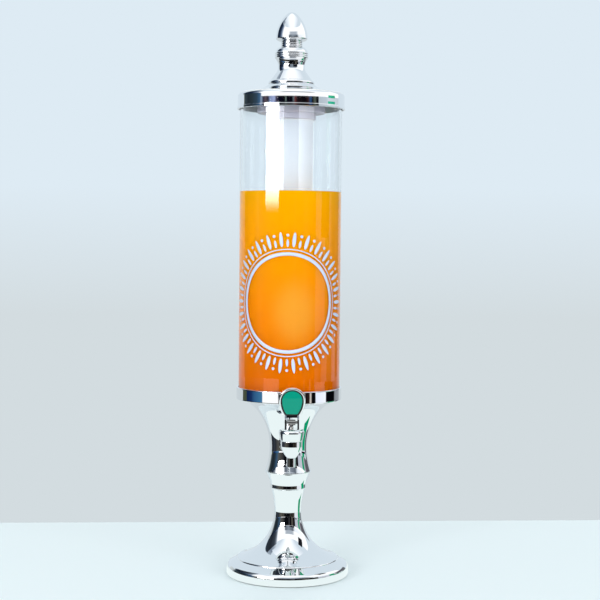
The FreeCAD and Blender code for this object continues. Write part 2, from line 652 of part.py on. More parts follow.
def ice_tube_plug():
    """Moulded plug that closes the ice tube's lower end."""
    spigot_r = ICE_R - ICE_WALL
    bottom = Z_ICE_END - PLUG_T
    top = Z_ICE_END + PLUG_SPIGOT
    plug = Outline(0, bottom).line((ICE_R - PLUG_EDGE, bottom))
    plug.line((ICE_R, bottom + PLUG_EDGE))
    plug.line((ICE_R, Z_ICE_END), (spigot_r, Z_ICE_END), (spigot_r, top))
    plug.line((spigot_r - ICE_WALL, top), (spigot_r - ICE_WALL, Z_ICE_END), (0, Z_ICE_END))
    return plug.turned()


def finial_base():
    """Turned baluster on the lid: bead, cone, waist, grooved knob and a ribbed neck."""
    foot_top = Z_FINIAL + FINIAL_FOOT_H
    waist = Z_FINIAL + FINIAL_WAIST_Z
    knob = Z_FINIAL + FINIAL_KNOB_Z
    band = knob + FINIAL_LIP_H
    shoulder = band + FINIAL_BAND_H
    neck = Z_FINIAL + FINIAL_NECK_Z
    rib = (Z_ACORN - neck) / FINIAL_RIB_COUNT
    bore = FINIAL_NECK_R - FINIAL_WALL
    shape = Outline(STUD_HOLE_R, Z_FINIAL).line((FINIAL_FOOT_R, Z_FINIAL))
    shape.line((FINIAL_FOOT_R + FINIAL_GROOVE, (Z_FINIAL + foot_top) / 2), (FINIAL_FOOT_R, foot_top))
    shape.line((FINIAL_FOOT_R - 2 * FINIAL_GROOVE, foot_top + FINIAL_GROOVE))
    shape.line((FINIAL_CONE_R, Z_FINIAL + FINIAL_CONE_Z)).bend(FINIAL_WAIST_R, waist)
    shape.line((FINIAL_WAIST_R, waist + FINIAL_WAIST_H)).bend(FINIAL_KNOB_R, knob)
    for level in (band, shoulder):
        shape.line((FINIAL_KNOB_R, level - FINIAL_GROOVE), (FINIAL_KNOB_R - FINIAL_GROOVE, level))
        shape.line((FINIAL_KNOB_R, level + FINIAL_GROOVE))
    shape.bend(FINIAL_NECK_R, neck, leave=90)
    for i in range(FINIAL_RIB_COUNT):
        level = neck + i * rib
        shape.line((FINIAL_NECK_R + FINIAL_RIB, level + rib / 2), (FINIAL_NECK_R, level + rib))
    shape.line((STUD_HOLE_R, Z_ACORN), (STUD_HOLE_R, Z_ACORN - FINIAL_WALL))
    shape.line((bore, Z_ACORN - FINIAL_WALL), (bore, Z_FINIAL + FINIAL_WALL))
    shape.line((STUD_HOLE_R, Z_FINIAL + FINIAL_WALL))
    return shape.turned()


def finial_acorn():
    """Acorn on top of the finial, hollow from below, with a threaded boss for the stud. Its side
    is an arc that stands upright on the lip, and the tip is a ball that meets it smoothly."""
    lip = Z_ACORN + ACORN_SKIRT
    height = Z_ACORN + ACORN_H - lip
    centre = ACORN_SIDE_R - ACORN_R
    tip_r = (ACORN_SIDE_R ** 2 - centre ** 2 - height ** 2) / (2 * (ACORN_SIDE_R - height))
    join = ACORN_SIDE_R / (ACORN_SIDE_R - tip_r)
    hollow_top = Z_ACORN + STUD_DEPTH + ACORN_WALL
    hollow_r = ACORN_UNDER_R - ACORN_WALL
    shape = Outline(STUD_R, Z_ACORN).line((STUD_BOSS_R, Z_ACORN), (STUD_BOSS_R, hollow_top))
    shape.line((hollow_r, hollow_top), (hollow_r, Z_ACORN), (ACORN_UNDER_R, Z_ACORN))
    shape.line((ACORN_R - ACORN_LIP, lip - ACORN_LIP), (ACORN_R, lip))
    shape.bend(centre * join - centre, lip + (height - tip_r) * join, leave=90)
    shape.bend(ACORN_TIP_R, lip + height, arrive=180)
    shape.line((0, lip + height), (0, Z_ACORN + STUD_DEPTH), (STUD_R, Z_ACORN + STUD_DEPTH))
    return shape.turned()


def finial_stud():
    """Long screw that pulls acorn, baluster, lid and holder together."""
    low = Z_PLATE - HOLDER_PLATE_T - STUD_NUT_T - STUD_END
    return rod(STUD_R, low, Z_ACORN + STUD_DEPTH)


def finial_nut():
    """Nut of that screw, under the holder's top plate."""
    top = Z_PLATE - HOLDER_PLATE_T
    nut = hexagon(STUD_NUT_FLATS, STUD_NUT_T, FreeCAD.Vector(0, 0, top - STUD_NUT_T), UP)
    return nut.cut(rod(STUD_R, top - STUD_NUT_T, top))


# ---- Tap ---------------------------------------------------------------------------------------------
def tap_body():
    """Tap body: upright barrel with a rounded bowl and a spout, and the shank into the bell."""
    flange_front = -TAP_PAD_OUT - TAP_GASKET_T - FLANGE_T
    shank_end = -TAP_PAD_IN + TAP_GASKET_T + TAP_NUT_T + SHANK_END
    shape = Outline(0, Z_SPOUT_END).line((SPOUT_R - SPOUT_EDGE, Z_SPOUT_END))
    shape.line((SPOUT_R, Z_SPOUT_END + SPOUT_EDGE))
    shape.line((SPOUT_R, Z_SPOUT), (SPOUT_R + BOWL_STEP, Z_SPOUT))
    shape.bend(TAP_BODY_R, Z_BOWL, leave=BOWL_HEADING)
    shape.line((TAP_BODY_R, Z_BONNET), (0, Z_BONNET))
    body = shape.turned(TAP_X, TAP_Y)
    body = body.fuse(rod_to_tower(BARREL_R, TAP_Y, flange_front + FLANGE_T / 2))
    body = body.fuse(rod_to_tower(FLANGE_R, flange_front, flange_front + FLANGE_T))
    body = body.fuse(rod_to_tower(SHANK_R, flange_front, shank_end))
    chamber = Outline(0, Z_SEAT).line(
        (SEAT_R, Z_SEAT), (CHAMBER_R, Z_SHANK), (CHAMBER_R, Z_BONNET), (0, Z_BONNET))
    body = body.cut(chamber.turned(TAP_X, TAP_Y))
    body = body.cut(rod(SPOUT_BORE_R, Z_SPOUT_END, Z_SEAT, TAP_X, TAP_Y))
    return body.cut(rod_to_tower(SHANK_BORE_R, TAP_Y, shank_end)).removeSplitter()


def tap_gasket(y):
    """Fibre ring on the shank, from one distance from the tower's axis outwards."""
    ring = rod_to_tower(TAP_GASKET_R, y, y + TAP_GASKET_T)
    return ring.cut(rod_to_tower(SHANK_R, y, y + TAP_GASKET_T))


def tap_outer_gasket():
    """Gasket between the tap's flange and the bell."""
    return tap_gasket(-TAP_PAD_OUT - TAP_GASKET_T)


def tap_inner_gasket():
    """Gasket between the bell and the nut inside it."""
    return tap_gasket(-TAP_PAD_IN)


def tap_nut():
    """Hexagonal nut inside the bell that clamps the tap."""
    start = -TAP_PAD_IN + TAP_GASKET_T
    nut = hexagon(TAP_NUT_FLATS, TAP_NUT_T, FreeCAD.Vector(TAP_X, start, Z_SHANK), BACK)
    return nut.cut(rod_to_tower(SHANK_R, start, start + TAP_NUT_T))


def tap_bonnet():
    """Domed cap that screws into the body and guides the stem."""
    hole_r = STEM_R + RUN_FIT
    skirt_r = CHAMBER_R - SLIP_FIT
    skirt_z = Z_BONNET - BONNET_SKIRT_L
    roof_z = Z_BONNET_TOP - BONNET_ROOF
    shape = Outline(BONNET_BORE_R, skirt_z)
    shape.line((skirt_r, skirt_z), (skirt_r, Z_BONNET), (BONNET_R - BONNET_EDGE, Z_BONNET))
    shape.line((BONNET_R, Z_BONNET + BONNET_EDGE), (BONNET_R, Z_BONNET_TOP - BONNET_DOME))
    shape.bend(BONNET_TOP_R, Z_BONNET_TOP, leave=90)
    shape.line((hole_r, Z_BONNET_TOP), (hole_r, roof_z), (BONNET_BORE_R, roof_z))
    return shape.turned(TAP_X, TAP_Y)


def tap_stem():
    """Stem with a flange for the spring and an eye for the lever's pin."""
    foot_z = Z_SEAT + CUP_WALL
    stem = rod(STEM_R, foot_z, Z_PIN, TAP_X, TAP_Y)
    stem = stem.fuse(rod(STEM_FLANGE_R, Z_STEM_FLANGE, Z_STEM_FLANGE + STEM_FLANGE_T, TAP_X, TAP_Y))
    start = FreeCAD.Vector(TAP_X - EYE_W / 2, TAP_Y, Z_PIN)
    stem = stem.fuse(Part.makeCylinder(EYE_R, EYE_W, start, RIGHT))
    return stem.cut(Part.makeCylinder(PIN_R + RUN_FIT, EYE_W, start, RIGHT))


def tap_valve_cup():
    """Rubber cup on the stem's foot, which closes the valve seat."""
    cup = rod(CUP_R, Z_SEAT, Z_SEAT + CUP_T, TAP_X, TAP_Y)
    return cup.cut(rod(STEM_R, Z_SEAT + CUP_WALL, Z_SEAT + CUP_T, TAP_X, TAP_Y))


def tap_spring():
    """Coil spring between the stem's flange and the bonnet's roof."""
    half = SPRING_WIRE / 2
    low = Z_STEM_FLANGE + STEM_FLANGE_T + half + REST_GAP
    high = Z_BONNET_TOP - BONNET_ROOF - half - REST_GAP
    helix = Part.makeHelix((high - low) / SPRING_TURNS, high - low, SPRING_R)
    corners = [(-half, -half), (half, -half), (half, half), (-half, half), (-half, -half)]
    section = Part.makePolygon([FreeCAD.Vector(SPRING_R + r, 0, z) for r, z in corners])
    coil = helix.makePipeShell([section], True, True)
    coil.translate(FreeCAD.Vector(TAP_X, TAP_Y, low))
    return coil


# ---- Lever -------------------------------------------------------------------------------------------
def to_lever(shape):
    """Leans a piece drawn upright round the pin, and moves it to the pin's place."""
    shape.rotate(ORIGIN, RIGHT, LEVER_LEAN)
    shape.translate(FreeCAD.Vector(TAP_X, TAP_Y, Z_PIN))
    return shape


def paddle_slab(inset, front, thickness):
    """Tear-shaped slab: round head, and sides that draw in to a flat foot."""
    middle = PADDLE_TOP - PADDLE_R
    outline = Outline(-FORK_W / 2, PADDLE_BOTTOM).line((FORK_W / 2, PADDLE_BOTTOM))
    outline.arc(PADDLE_R, middle, arrive=90).arc(0, PADDLE_TOP).arc(-PADDLE_R, middle)
    outline.arc(-FORK_W / 2, PADDLE_BOTTOM)
    face = outline.face()
    if inset:
        face = face.makeOffset2D(-inset)
    slab = face.extrude(BACK * thickness)
    slab.translate(BACK * -front)
    return slab


def tap_lever():
    """Lever: forked heel that straddles the stem's eye, and a leaning paddle with a badge recess."""
    half_t = LEVER_T / 2
    paddle = paddle_slab(0, half_t, LEVER_T)
    curved = [edge for edge in paddle.Edges if not isinstance(edge.Curve, Part.Line)]
    paddle = paddle.makeChamfer(PADDLE_EDGE, curved).cut(paddle_slab(BADGE_RIM, half_t, BADGE_SINK))
    lean = FreeCAD.Rotation(RIGHT, LEVER_LEAN)
    join = PADDLE_BOTTOM + LEVER_T / 2
    side = [
        FreeCAD.Vector(0, -HEEL_FRONT, -PIN_UP),
        FreeCAD.Vector(0, HEEL_BACK, -PIN_UP),
        FreeCAD.Vector(0, HEEL_BACK, 0),
        lean.multVec(FreeCAD.Vector(0, half_t, join)),
        lean.multVec(FreeCAD.Vector(0, -half_t, join)),
        FreeCAD.Vector(0, -HEEL_FRONT, -PIN_R),
    ]
    fork = Part.Face(Part.makePolygon(side + side[:1])).extrude(RIGHT * FORK_W)
    fork.translate(FreeCAD.Vector(TAP_X - FORK_W / 2, TAP_Y, Z_PIN))
    slot_w = FORK_W - 2 * FORK_CHEEK
    slot_d = 6 * EYE_R
    corner = FreeCAD.Vector(TAP_X - slot_w / 2, TAP_Y - slot_d / 2, Z_PIN - PIN_UP)
    slot = Part.makeBox(slot_w, slot_d, PIN_UP + FORK_SLOT, corner)
    lever = to_lever(paddle).fuse(fork).cut(slot)
    return lever.cut(lever_pin()).removeSplitter()


def lever_badge():
    """Plain coloured badge that fills the paddle's recess."""
    front = LEVER_T / 2 - BADGE_SINK + BADGE_T
    return to_lever(paddle_slab(BADGE_RIM + BADGE_GAP, front, BADGE_T))


def lever_pin():
    """Pin through the lever's cheeks and the stem's eye."""
    return Part.makeCylinder(PIN_R, FORK_W, FreeCAD.Vector(TAP_X - FORK_W / 2, TAP_Y, Z_PIN), RIGHT)


PIECES = (
    foot, bottom_cover, cover_screws, anti_slip_ring, ballast_disc, tie_rod, tie_rod_washer,
    tie_rod_nut, neck_knop, bell_housing, mouth_ring, tube_seal, tower_tube, lid_shell, lid_gasket,
    ice_tube_holder, ice_tube, ice_tube_seal, ice_tube_plug, finial_base, finial_acorn, finial_stud,
    finial_nut, tap_body, tap_outer_gasket, tap_inner_gasket, tap_nut, tap_bonnet, tap_stem,
    tap_valve_cup, tap_spring, tap_lever, lever_badge, lever_pin,
)

os.makedirs("parts", exist_ok=True)
for piece in PIECES:
    piece().exportStep("parts/" + piece.__name__ + ".step")
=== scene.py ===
import json
import math

import bpy
import numpy as np
from mathutils import Matrix, Vector


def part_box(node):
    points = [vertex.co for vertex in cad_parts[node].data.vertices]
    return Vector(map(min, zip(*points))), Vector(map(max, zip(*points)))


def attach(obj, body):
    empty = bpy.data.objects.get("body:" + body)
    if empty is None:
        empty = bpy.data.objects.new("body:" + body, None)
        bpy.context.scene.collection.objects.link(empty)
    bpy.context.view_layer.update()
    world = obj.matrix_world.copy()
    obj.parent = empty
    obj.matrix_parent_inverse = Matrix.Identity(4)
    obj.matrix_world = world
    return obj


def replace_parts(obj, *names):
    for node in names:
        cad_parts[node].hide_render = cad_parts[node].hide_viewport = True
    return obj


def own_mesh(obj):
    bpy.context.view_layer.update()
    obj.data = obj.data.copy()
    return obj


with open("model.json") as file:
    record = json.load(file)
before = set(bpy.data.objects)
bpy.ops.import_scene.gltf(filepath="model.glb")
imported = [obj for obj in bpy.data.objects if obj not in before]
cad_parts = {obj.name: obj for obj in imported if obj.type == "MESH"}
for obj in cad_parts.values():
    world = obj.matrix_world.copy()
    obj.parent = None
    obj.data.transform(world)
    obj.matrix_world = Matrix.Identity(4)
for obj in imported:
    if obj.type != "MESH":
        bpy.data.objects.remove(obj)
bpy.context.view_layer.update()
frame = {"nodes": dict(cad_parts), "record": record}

MM = 0.001            # outlines and sizes are in millimetres, meshes in metres
STEPS = 192           # steps round a turned piece
FINE_STEPS = 256      # steps round the tube, the drink and the printed rings
TAP_STEPS = 128       # steps round the tap's small turned pieces
TAP_Y = -62.0         # the upright axis of tap, stem and spring stands this far in front
SHANK_Z = 160.5       # height of the tap's level axis


def linked(name, data):
    """New object that holds this mesh, lamp or camera, at the origin of the scene."""
    obj = bpy.data.objects.new(name, data)
    bpy.context.scene.collection.objects.link(obj)
    return obj


def node_box(node):
    """Lowest and highest corner of a CAD node, in millimetres."""
    low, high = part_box(node)
    return np.array(low) / MM, np.array(high) / MM


# ---- Outlines ------------------------------------------------------------------------------------
HOLD = 0.12           # support rows this near the ends of a straight stretch keep it looking flat


class Outline:
    """Outline of a turned or pulled piece in millimetres: across and up, or radius and height."""

    def __init__(self, r, z, soft=0.0):
        self.rows = [(r, z, soft, True)]
        self.heading = 0.0

    def line(self, r, z, soft=0.0):
        """Straight stretch to a corner, which is softened over that length on both sides."""
        r0, z0 = self.rows[-1][:2]
        self.heading = math.degrees(math.atan2(z - z0, r - r0))
        self.rows.append((r, z, soft, True))
        return self

    def arc(self, r, z, leave=None, arrive=None, count=28, soft=0.0):
        """Round stretch that leaves or arrives at a heading in degrees, or carries on smoothly.
        Place along it: start + radius * (sin h - sin h0, cos h0 - cos h) for heading h."""
        r0, z0 = self.rows[-1][:2]
        chord = math.atan2(z - z0, r - r0)
        if arrive is not None:
            leave = 2 * math.degrees(chord) - arrive
        h0 = math.radians(self.heading if leave is None else leave)
        half = (chord - h0 + math.pi) % (2 * math.pi) - math.pi
        radius = math.hypot(r - r0, z - z0) / (2 * math.sin(half))
        h = h0 + 2 * half * np.linspace(0, 1, count + 1)[1:]
        across = r0 + radius * (np.sin(h) - math.sin(h0))
        up = z0 + radius * (math.cos(h0) - np.cos(h))
        self.rows += [(a, b, 0.0, False) for a, b in zip(across, up)]
        self.rows[-1] = (r, z, soft, False)
        self.heading = math.degrees(h0 + 2 * half)
        return self

    def points(self):
        """All places of the closed outline as an array. A softened corner C between A and B becomes
        the quadratic curve (1-t)^2 A + 2t(1-t) C + t^2 B, and straight stretches get support rows.
        A corner takes at most 0.48 of the stretch beside it, so two softened ones never meet."""
        rows = self.rows
        if rows[0][:2] == rows[-1][:2]:
            rows = rows[:-1]
        blocks, most = [], 0.48
        t = np.linspace(0, 1, 7)[:, None]
        for i, (r, z, soft, _) in enumerate(rows):
            c = np.array([r, z])
            if soft == 0:
                blocks.append(c[None])
                continue
            before = np.array(rows[i - 1][:2]) - c
            after = np.array(rows[(i + 1) % len(rows)][:2]) - c
            d0, d1 = np.linalg.norm(before), np.linalg.norm(after)
            a = c + before / d0 * min(soft, most * d0)
            b = c + after / d1 * min(soft, most * d1)
            blocks.append((1 - t) ** 2 * a + 2 * t * (1 - t) * c + t ** 2 * b)
        out = []
        for i, block in enumerate(blocks):
            run = block[0] - blocks[i - 1][-1]
            length = np.linalg.norm(run)
            if rows[i][3] and length > 4 * HOLD:
                inset = run * HOLD / length
                out.append(np.stack([blocks[i - 1][-1] + inset, block[0] - inset]))
            out.append(block)
        return np.vstack(out)


# ---- Surfaces ------------------------------------------------------------------------------------
def grid_faces(rows, columns, close_rows, close_columns):
    """Quads of a grid of rows by columns, wrapped round where closed."""
    i = np.arange(rows if close_rows else rows - 1)[:, None]
    j = np.arange(columns if close_columns else columns - 1)[None]
    i2, j2 = (i + 1) % rows, (j + 1) % columns
    quads = [i * columns + j, i * columns + j2, i2 * columns + j2, i2 * columns + j]
    return np.stack(quads, -1).reshape(-1, 4)


def volume(points, quads):
    """Signed volume inside quads: a sixth of the sum of corner products over both halves."""
    a, b, c, d = (points[quads[:, k]] for k in range(4))
    return (np.einsum("ij,ij->", a, np.cross(b, c)) + np.einsum("ij,ij->", a, np.cross(c, d))) / 6


def solid(name, shells, material, body):
    """One object from shells of (points in millimetres, quads), turned outwards, doubles merged."""
    places, faces, start = [], [], 0
    for points, quads in shells:
        if volume(points, quads) < 0:
            quads = quads[:, ::-1]
        places.append(points)
        faces.append(quads + start)
        start += len(points)
    places, faces = np.vstack(places) * MM, np.vstack(faces)
    _, first, same = np.unique(np.round(places, 8), axis=0, return_index=True, return_inverse=True)
    places, faces = places[first], same.reshape(-1)[faces]
    mesh = bpy.data.meshes.new(name)
    rows = [list(dict.fromkeys(face)) for face in faces.tolist()]
    mesh.from_pydata(places.tolist(), [], [row for row in rows if len(row) > 2])
    mesh.polygons.foreach_set("use_smooth", [True] * len(mesh.polygons))
    mesh.set_sharp_from_angle(angle=math.radians(35))
    mesh.materials.append(material)
    obj = linked(name, mesh)
    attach(obj, body)
    return obj


def turned(points, x=0.0, y=0.0, steps=STEPS):
    """Outline turned about a vertical axis at x, y: (x + r cos a, y + r sin a, z)."""
    a = np.linspace(0, 2 * np.pi, steps, endpoint=False)
    r, z = points[:, 0][:, None], points[:, 1][:, None]
    surface = np.stack([x + r * np.cos(a), y + r * np.sin(a), z + 0 * a], -1)
    return surface.reshape(-1, 3), grid_faces(len(points), steps, True, True)


def turned_to_tower(points, z, steps=96):
    """Outline turned about a level axis towards the tower: (r cos a, along, z + r sin a)."""
    surface, quads = turned(points, steps=steps)
    return np.stack([surface[:, 0], surface[:, 2], z + surface[:, 1]], -1), quads


# ---- Materials -----------------------------------------------------------------------------------
def linear(hex_colour):
    """sRGB hex to linear red, green, blue and full alpha."""
    c = np.array([int(hex_colour[i:i + 2], 16) for i in (1, 3, 5)]) / 255
    c = np.where(c <= 0.04045, c / 12.92, ((c + 0.055) / 1.055) ** 2.4)
    return (*c.tolist(), 1.0)


def add(tree, kind, links=(), **settings):
    """A node with its settings and inputs. Links are (input, source node, output)."""
    node = tree.nodes.new(kind)
    for key, value in settings.items():
        if key.startswith("in_"):
            node.inputs[key[3:].replace("_", " ")].default_value = value
        else:
            setattr(node, key, value)
    for where, source, output in links:
        tree.links.new(source.outputs[output], node.inputs[where])
    return node


def surface_material(name, hex_colour, **inputs):
    """Principled material. Returns the material, its tree and its shader."""
    material = bpy.data.materials.new(name)
    material.use_nodes = True
    tree = material.node_tree
    shader = tree.nodes["Principled BSDF"]
    shader.inputs["Base Color"].default_value = linear(hex_colour)
    for key, value in inputs.items():
        shader.inputs[key.replace("_", " ")].default_value = value
    return material, tree, shader


def chrome_plate():
    """Bright chrome over polished metal: nearly a mirror, a little blue, with faint soft blur."""
    return surface_material("chrome_plate", "#EEF0F2", Metallic=1.0, Roughness=0.012)[0]


def turned_steel():
    """Plain turned steel: grey, with a soft gloss."""
    return surface_material("turned_steel", "#A9A9A6", Metallic=1.0, Roughness=0.3)[0]


def cast_iron():
    """Painted cast iron: nearly black and dull."""
    return surface_material("painted_cast_iron", "#25262A", Metallic=0.0, Roughness=0.7)[0]


def clear_acrylic():
    """Extruded acrylic tube: clear and glossy, IOR 1.49."""
    return surface_material("clear_acrylic", "#FCFEFF", Roughness=0.0, IOR=1.49,
                            Transmission_Weight=1.0)[0]


def milky_polypropylene():
    """Moulded polypropylene: white and satin, a little blue."""
    return surface_material("milky_polypropylene", "#D8DDE6", Roughness=0.35, IOR=1.49)[0]


def white_abs_painted_shade():
    """Moulded white ABS with a soft gloss, painted darker and a little lilac: painted shade from
    the lid over it.
    """
    return surface_material("white_abs_painted_shade", "#BDB9C8", Roughness=0.35, IOR=1.53)[0]


def black_abs():
    """Moulded ABS: black, fine grain, nearly matt."""
    return surface_material("black_abs", "#17171A", Roughness=0.6, IOR=1.53)[0]


def black_rubber():
    """Moulded rubber: black and matt."""
    return surface_material("black_rubber", "#1A1A1A", Roughness=0.8, IOR=1.52)[0]


def white_silicone():
    """Moulded silicone: white and soft-looking."""
    return surface_material("white_silicone", "#E4E6E4", Roughness=0.55, IOR=1.41)[0]


def green_enamel():
    """Poured enamel: deep green with a wet gloss."""
    return surface_material("green_enamel", "#067E68", Roughness=0.08, IOR=1.5,
                            Specular_IOR_Level=0.2)[0]


def screen_ink():
    """Screen-printing ink: pale, a little blue, nearly matt."""
    return surface_material("screen_ink", "#B2BDCE", Roughness=0.45, IOR=1.5)[0]


def orange_drink(low, high):
    """Orange drink with pulp: yellow near its top, redder towards the bottom, with a painted glow
    below its middle, a pale patch of painted light that fades with d = |((x - x0) wide, (z - z0)
    tall)| up to d = 1."""
    wide, tall, x0, z0 = 26, 18, 0.003077, 0.315
    material, tree, shader = surface_material("orange_drink", "#FFA600", Roughness=0.4, IOR=1.34,
                                              Specular_IOR_Level=0.0)
    place = add(tree, "ShaderNodeTexCoord")
    height = add(tree, "ShaderNodeSeparateXYZ", [("Vector", place, "Object")])
    share = add(tree, "ShaderNodeMapRange", [("Value", height, "Z")], in_From_Min=low,
                in_From_Max=high)
    ramp = add(tree, "ShaderNodeValToRGB", [("Fac", share, "Result")])
    ramp.color_ramp.elements[0].color = linear("#E87000")
    ramp.color_ramp.elements[1].color = linear("#FFB800")
    middle = ramp.color_ramp.elements.new(0.5)
    middle.color = linear("#FF9E06")
    # Painted glow: a pale patch of painted light mixed into the colour below the drink's middle.
    scaled = add(tree, "ShaderNodeMapping", [("Vector", place, "Object")],
                 in_Location=(-x0 * wide, 0.0, -z0 * tall), in_Scale=(wide, 0, tall))
    far = add(tree, "ShaderNodeVectorMath", [(0, scaled, "Vector")], operation="LENGTH")
    glow = add(tree, "ShaderNodeMapRange", [("Value", far, "Value")],
               interpolation_type="SMOOTHERSTEP", in_From_Min=0.1, in_From_Max=1.0,
               in_To_Min=0.55, in_To_Max=0.0)
    mix = add(tree, "ShaderNodeMix", data_type="RGBA")
    first, second = [socket for socket in mix.inputs if socket.enabled and socket.name in "AB"]
    second.default_value = linear("#F2B848")
    tree.links.new(glow.outputs["Result"], mix.inputs[0])
    tree.links.new(ramp.outputs["Color"], first)
    mixed = next(socket for socket in mix.outputs if socket.enabled)
    tree.links.new(mixed, shader.inputs["Base Color"])
    return material


FINISHES = {
    "chrome": chrome_plate(),
    "plain_steel": turned_steel(),
    "cast_iron": cast_iron(),
    "black_plastic": black_abs(),
    "white_plastic": white_abs_painted_shade(),
    "frosted_plastic": milky_polypropylene(),
    "clear_acrylic": clear_acrylic(),
    "black_rubber": black_rubber(),
    "white_silicone": white_silicone(),
    "green_enamel": green_enamel(),
}
for part in frame["record"]["subparts"]:
    data = frame["nodes"][part["node"]].data
    data.materials.clear()
    data.materials.append(FINISHES[part["material_slot"]])


def chrome_piece(name, shells, body, *nodes):
    """Chromed solid that stands for CAD nodes."""
    obj = solid(name, shells, FINISHES["chrome"], body)
    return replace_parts(obj, *nodes)


# ---- Stand ---------------------------------------------------------------------------------------
def make_foot():
    """Foot: upright side, rounded rim, sloping brow with a round step, hollow-curved flare up to
    the neck, and the wall inside."""
    low, high = node_box("foot")
    edge, bottom, top = high[0], low[2], high[2]
    neck, brow, wall = 16.2, edge - 12.2, 2.7
    rim, rod_hole, seat = 2.4, 4.5, top - 15
    shape = Outline(edge - wall, bottom)
    shape.line(edge - 1.2, bottom, 0.4).line(edge, bottom + 1.2, 0.8).line(edge, 8.5)
    shape.arc(edge - rim, 14.6, leave=90, count=24, soft=0.6).arc(brow, 20.0, leave=151, soft=0.4)
    shape.arc(brow - 2.4, 21.7, leave=98, count=16, soft=0.2)
    shape.arc(neck, top, arrive=90, count=64)
    shape.line(rod_hole, top).line(rod_hole, seat).line(neck - 3.2, seat)
    shape.line(38, 24).line(edge - wall, 11.2)
    return chrome_piece("foot_shell", [turned(shape.points())], "pedestal", "foot")


def make_knop():
    """Knop: slim neck, upright band, a ridge, and the collar that goes up into the bell."""
    low, high = node_box("neck_knop")
    ridge, top, bottom = high[0], high[2] - 4, low[2]
    neck, band, collar, rod_hole = 16.2, 21.5, 19.4, 4.5
    shape = Outline(rod_hole, bottom).line(12.7, bottom).line(12.7, bottom + 4)
    shape.line(neck, bottom + 4, 0.15).arc(band - 0.9, top - 20.8, leave=90, count=40, soft=0.2)
    shape.line(band, top - 19.9, 0.4).line(band, top - 15.4, 0.8)
    shape.arc(ridge, top - 0.4, leave=78, soft=0.5).line(ridge - 0.4, top, 0.1)
    shape.line(collar, top).line(collar, high[2]).line(12, high[2]).line(12, bottom + 8)
    shape.line(rod_hole, bottom + 8)
    return chrome_piece("knop_shell", [turned(shape.points())], "pedestal", "neck_knop")


def make_bell():
    """Bell: hollow throat, flare with a quick lip, the funnel inside, and the pad for the tap."""
    low, high = node_box("bell_housing")
    bottom, rim, rim_r = low[2], high[2], high[0]
    throat, throat_z, end = 22.4, bottom + 28.6, rim - 5.2
    flare, wall, floor, socket = rim_r - 4, 2.2, bottom + 23.6, 19.5
    lip_r, lip_z = throat + 0.45 * (flare - throat), end - 12.6
    shape = Outline(socket, bottom).line(27.0, bottom, 0.1).line(27.4, bottom + 0.4, 0.4)
    shape.arc(throat, throat_z, arrive=90, count=40)
    shape.arc(lip_r, lip_z, count=40).arc(flare, end, count=28)
    shape.line(rim_r, rim - 3.8).line(rim_r, rim)
    shape.line(flare - wall, rim).line(flare - wall, end + wall)
    shape.arc(throat - wall, throat_z, arrive=-90, count=40)
    shape.line(throat - wall, floor).line(4, floor).line(4, floor - 6).line(socket, floor - 6)
    bore, pad_r, near, far = 6.1, 12.5, -26.5, -19.5
    pad = Outline(bore, near).line(pad_r, near, 0.3).line(pad_r, far).line(bore, far)
    shells = [turned(shape.points()), turned_to_tower(pad.points(), SHANK_Z)]
    return chrome_piece("bell_shell", shells, "pedestal", "bell_housing")


def make_mouth_ring():
    """Band round the tube's foot, with rounded outer edges."""
    low, high = node_box("mouth_ring")
    r, bottom, top = high[0], low[2], high[2]
    bore, flange, seat = r - 2.15, 59, bottom + 3.3
    shape = Outline(flange, bottom).line(r, bottom, 1.5).line(r, top, 1.3).line(bore, top, 0.4)
    shape.line(bore, seat).line(flange, seat)
    return chrome_piece("mouth_ring_band", [turned(shape.points())], "pedestal", "mouth_ring")


# ---- Lid and finial ------------------------------------------------------------------------------
def make_lid():
    """Lid: rolled edge, upright side, rounded shoulder, shallow slope and raised seat. Its hidden
    inner face takes the pale silicone finish, not chrome, as painted light that lightens its shade:
    the faces inside the inner wall and under a line that falls by a tenth from the shoulder's
    height outwards."""
    low, high = node_box("lid_shell")
    bead, bottom, top = high[0], low[2], high[2]
    side, inner, seat, stud_hole = bead - 0.6, bead - 2.1, 27.6, 2.6
    shoulder, ledge = bottom + 19.4, top - 11.1
    shape = Outline(inner, bottom).line(side, bottom, 0.05).line(bead, bottom + 0.3, 0.12)
    shape.line(bead, bottom + 2.8, 0.12).line(side, bottom + 3.1, 0.1).line(side, shoulder - 4.5)
    shape.arc(side - 4.5, shoulder, leave=90, count=24).line(40, bottom + 23.4, 3)
    shape.arc(seat, top, leave=170, count=20, soft=0.2)
    shape.line(stud_hole, top).line(stud_hole, top - 1.5).line(seat - 1.5, top - 1.5)
    shape.line(40, top - 8).line(56.4, ledge).line(inner - 1.5, ledge).line(inner, ledge - 1.5)
    obj = chrome_piece("lid_cap", [turned(shape.points())], "lid", "lid_shell")
    # Second finish: painted light, a pale colour on the shaded inner face in place of chrome.
    obj.data.materials.append(FINISHES["white_silicone"])
    centres = np.empty(3 * len(obj.data.polygons))
    obj.data.polygons.foreach_get("center", centres)
    centres = centres.reshape(-1, 3) / MM
    radius, z = np.hypot(centres[:, 0], centres[:, 1]), centres[:, 2]
    painted_light_faces = (radius < inner + 0.05) & (radius > seat) & (z < top - 9)
    painted_light_faces &= z < shoulder - 0.1 * (radius - side)
    obj.data.polygons.foreach_set("material_index", painted_light_faces.astype(np.int32))


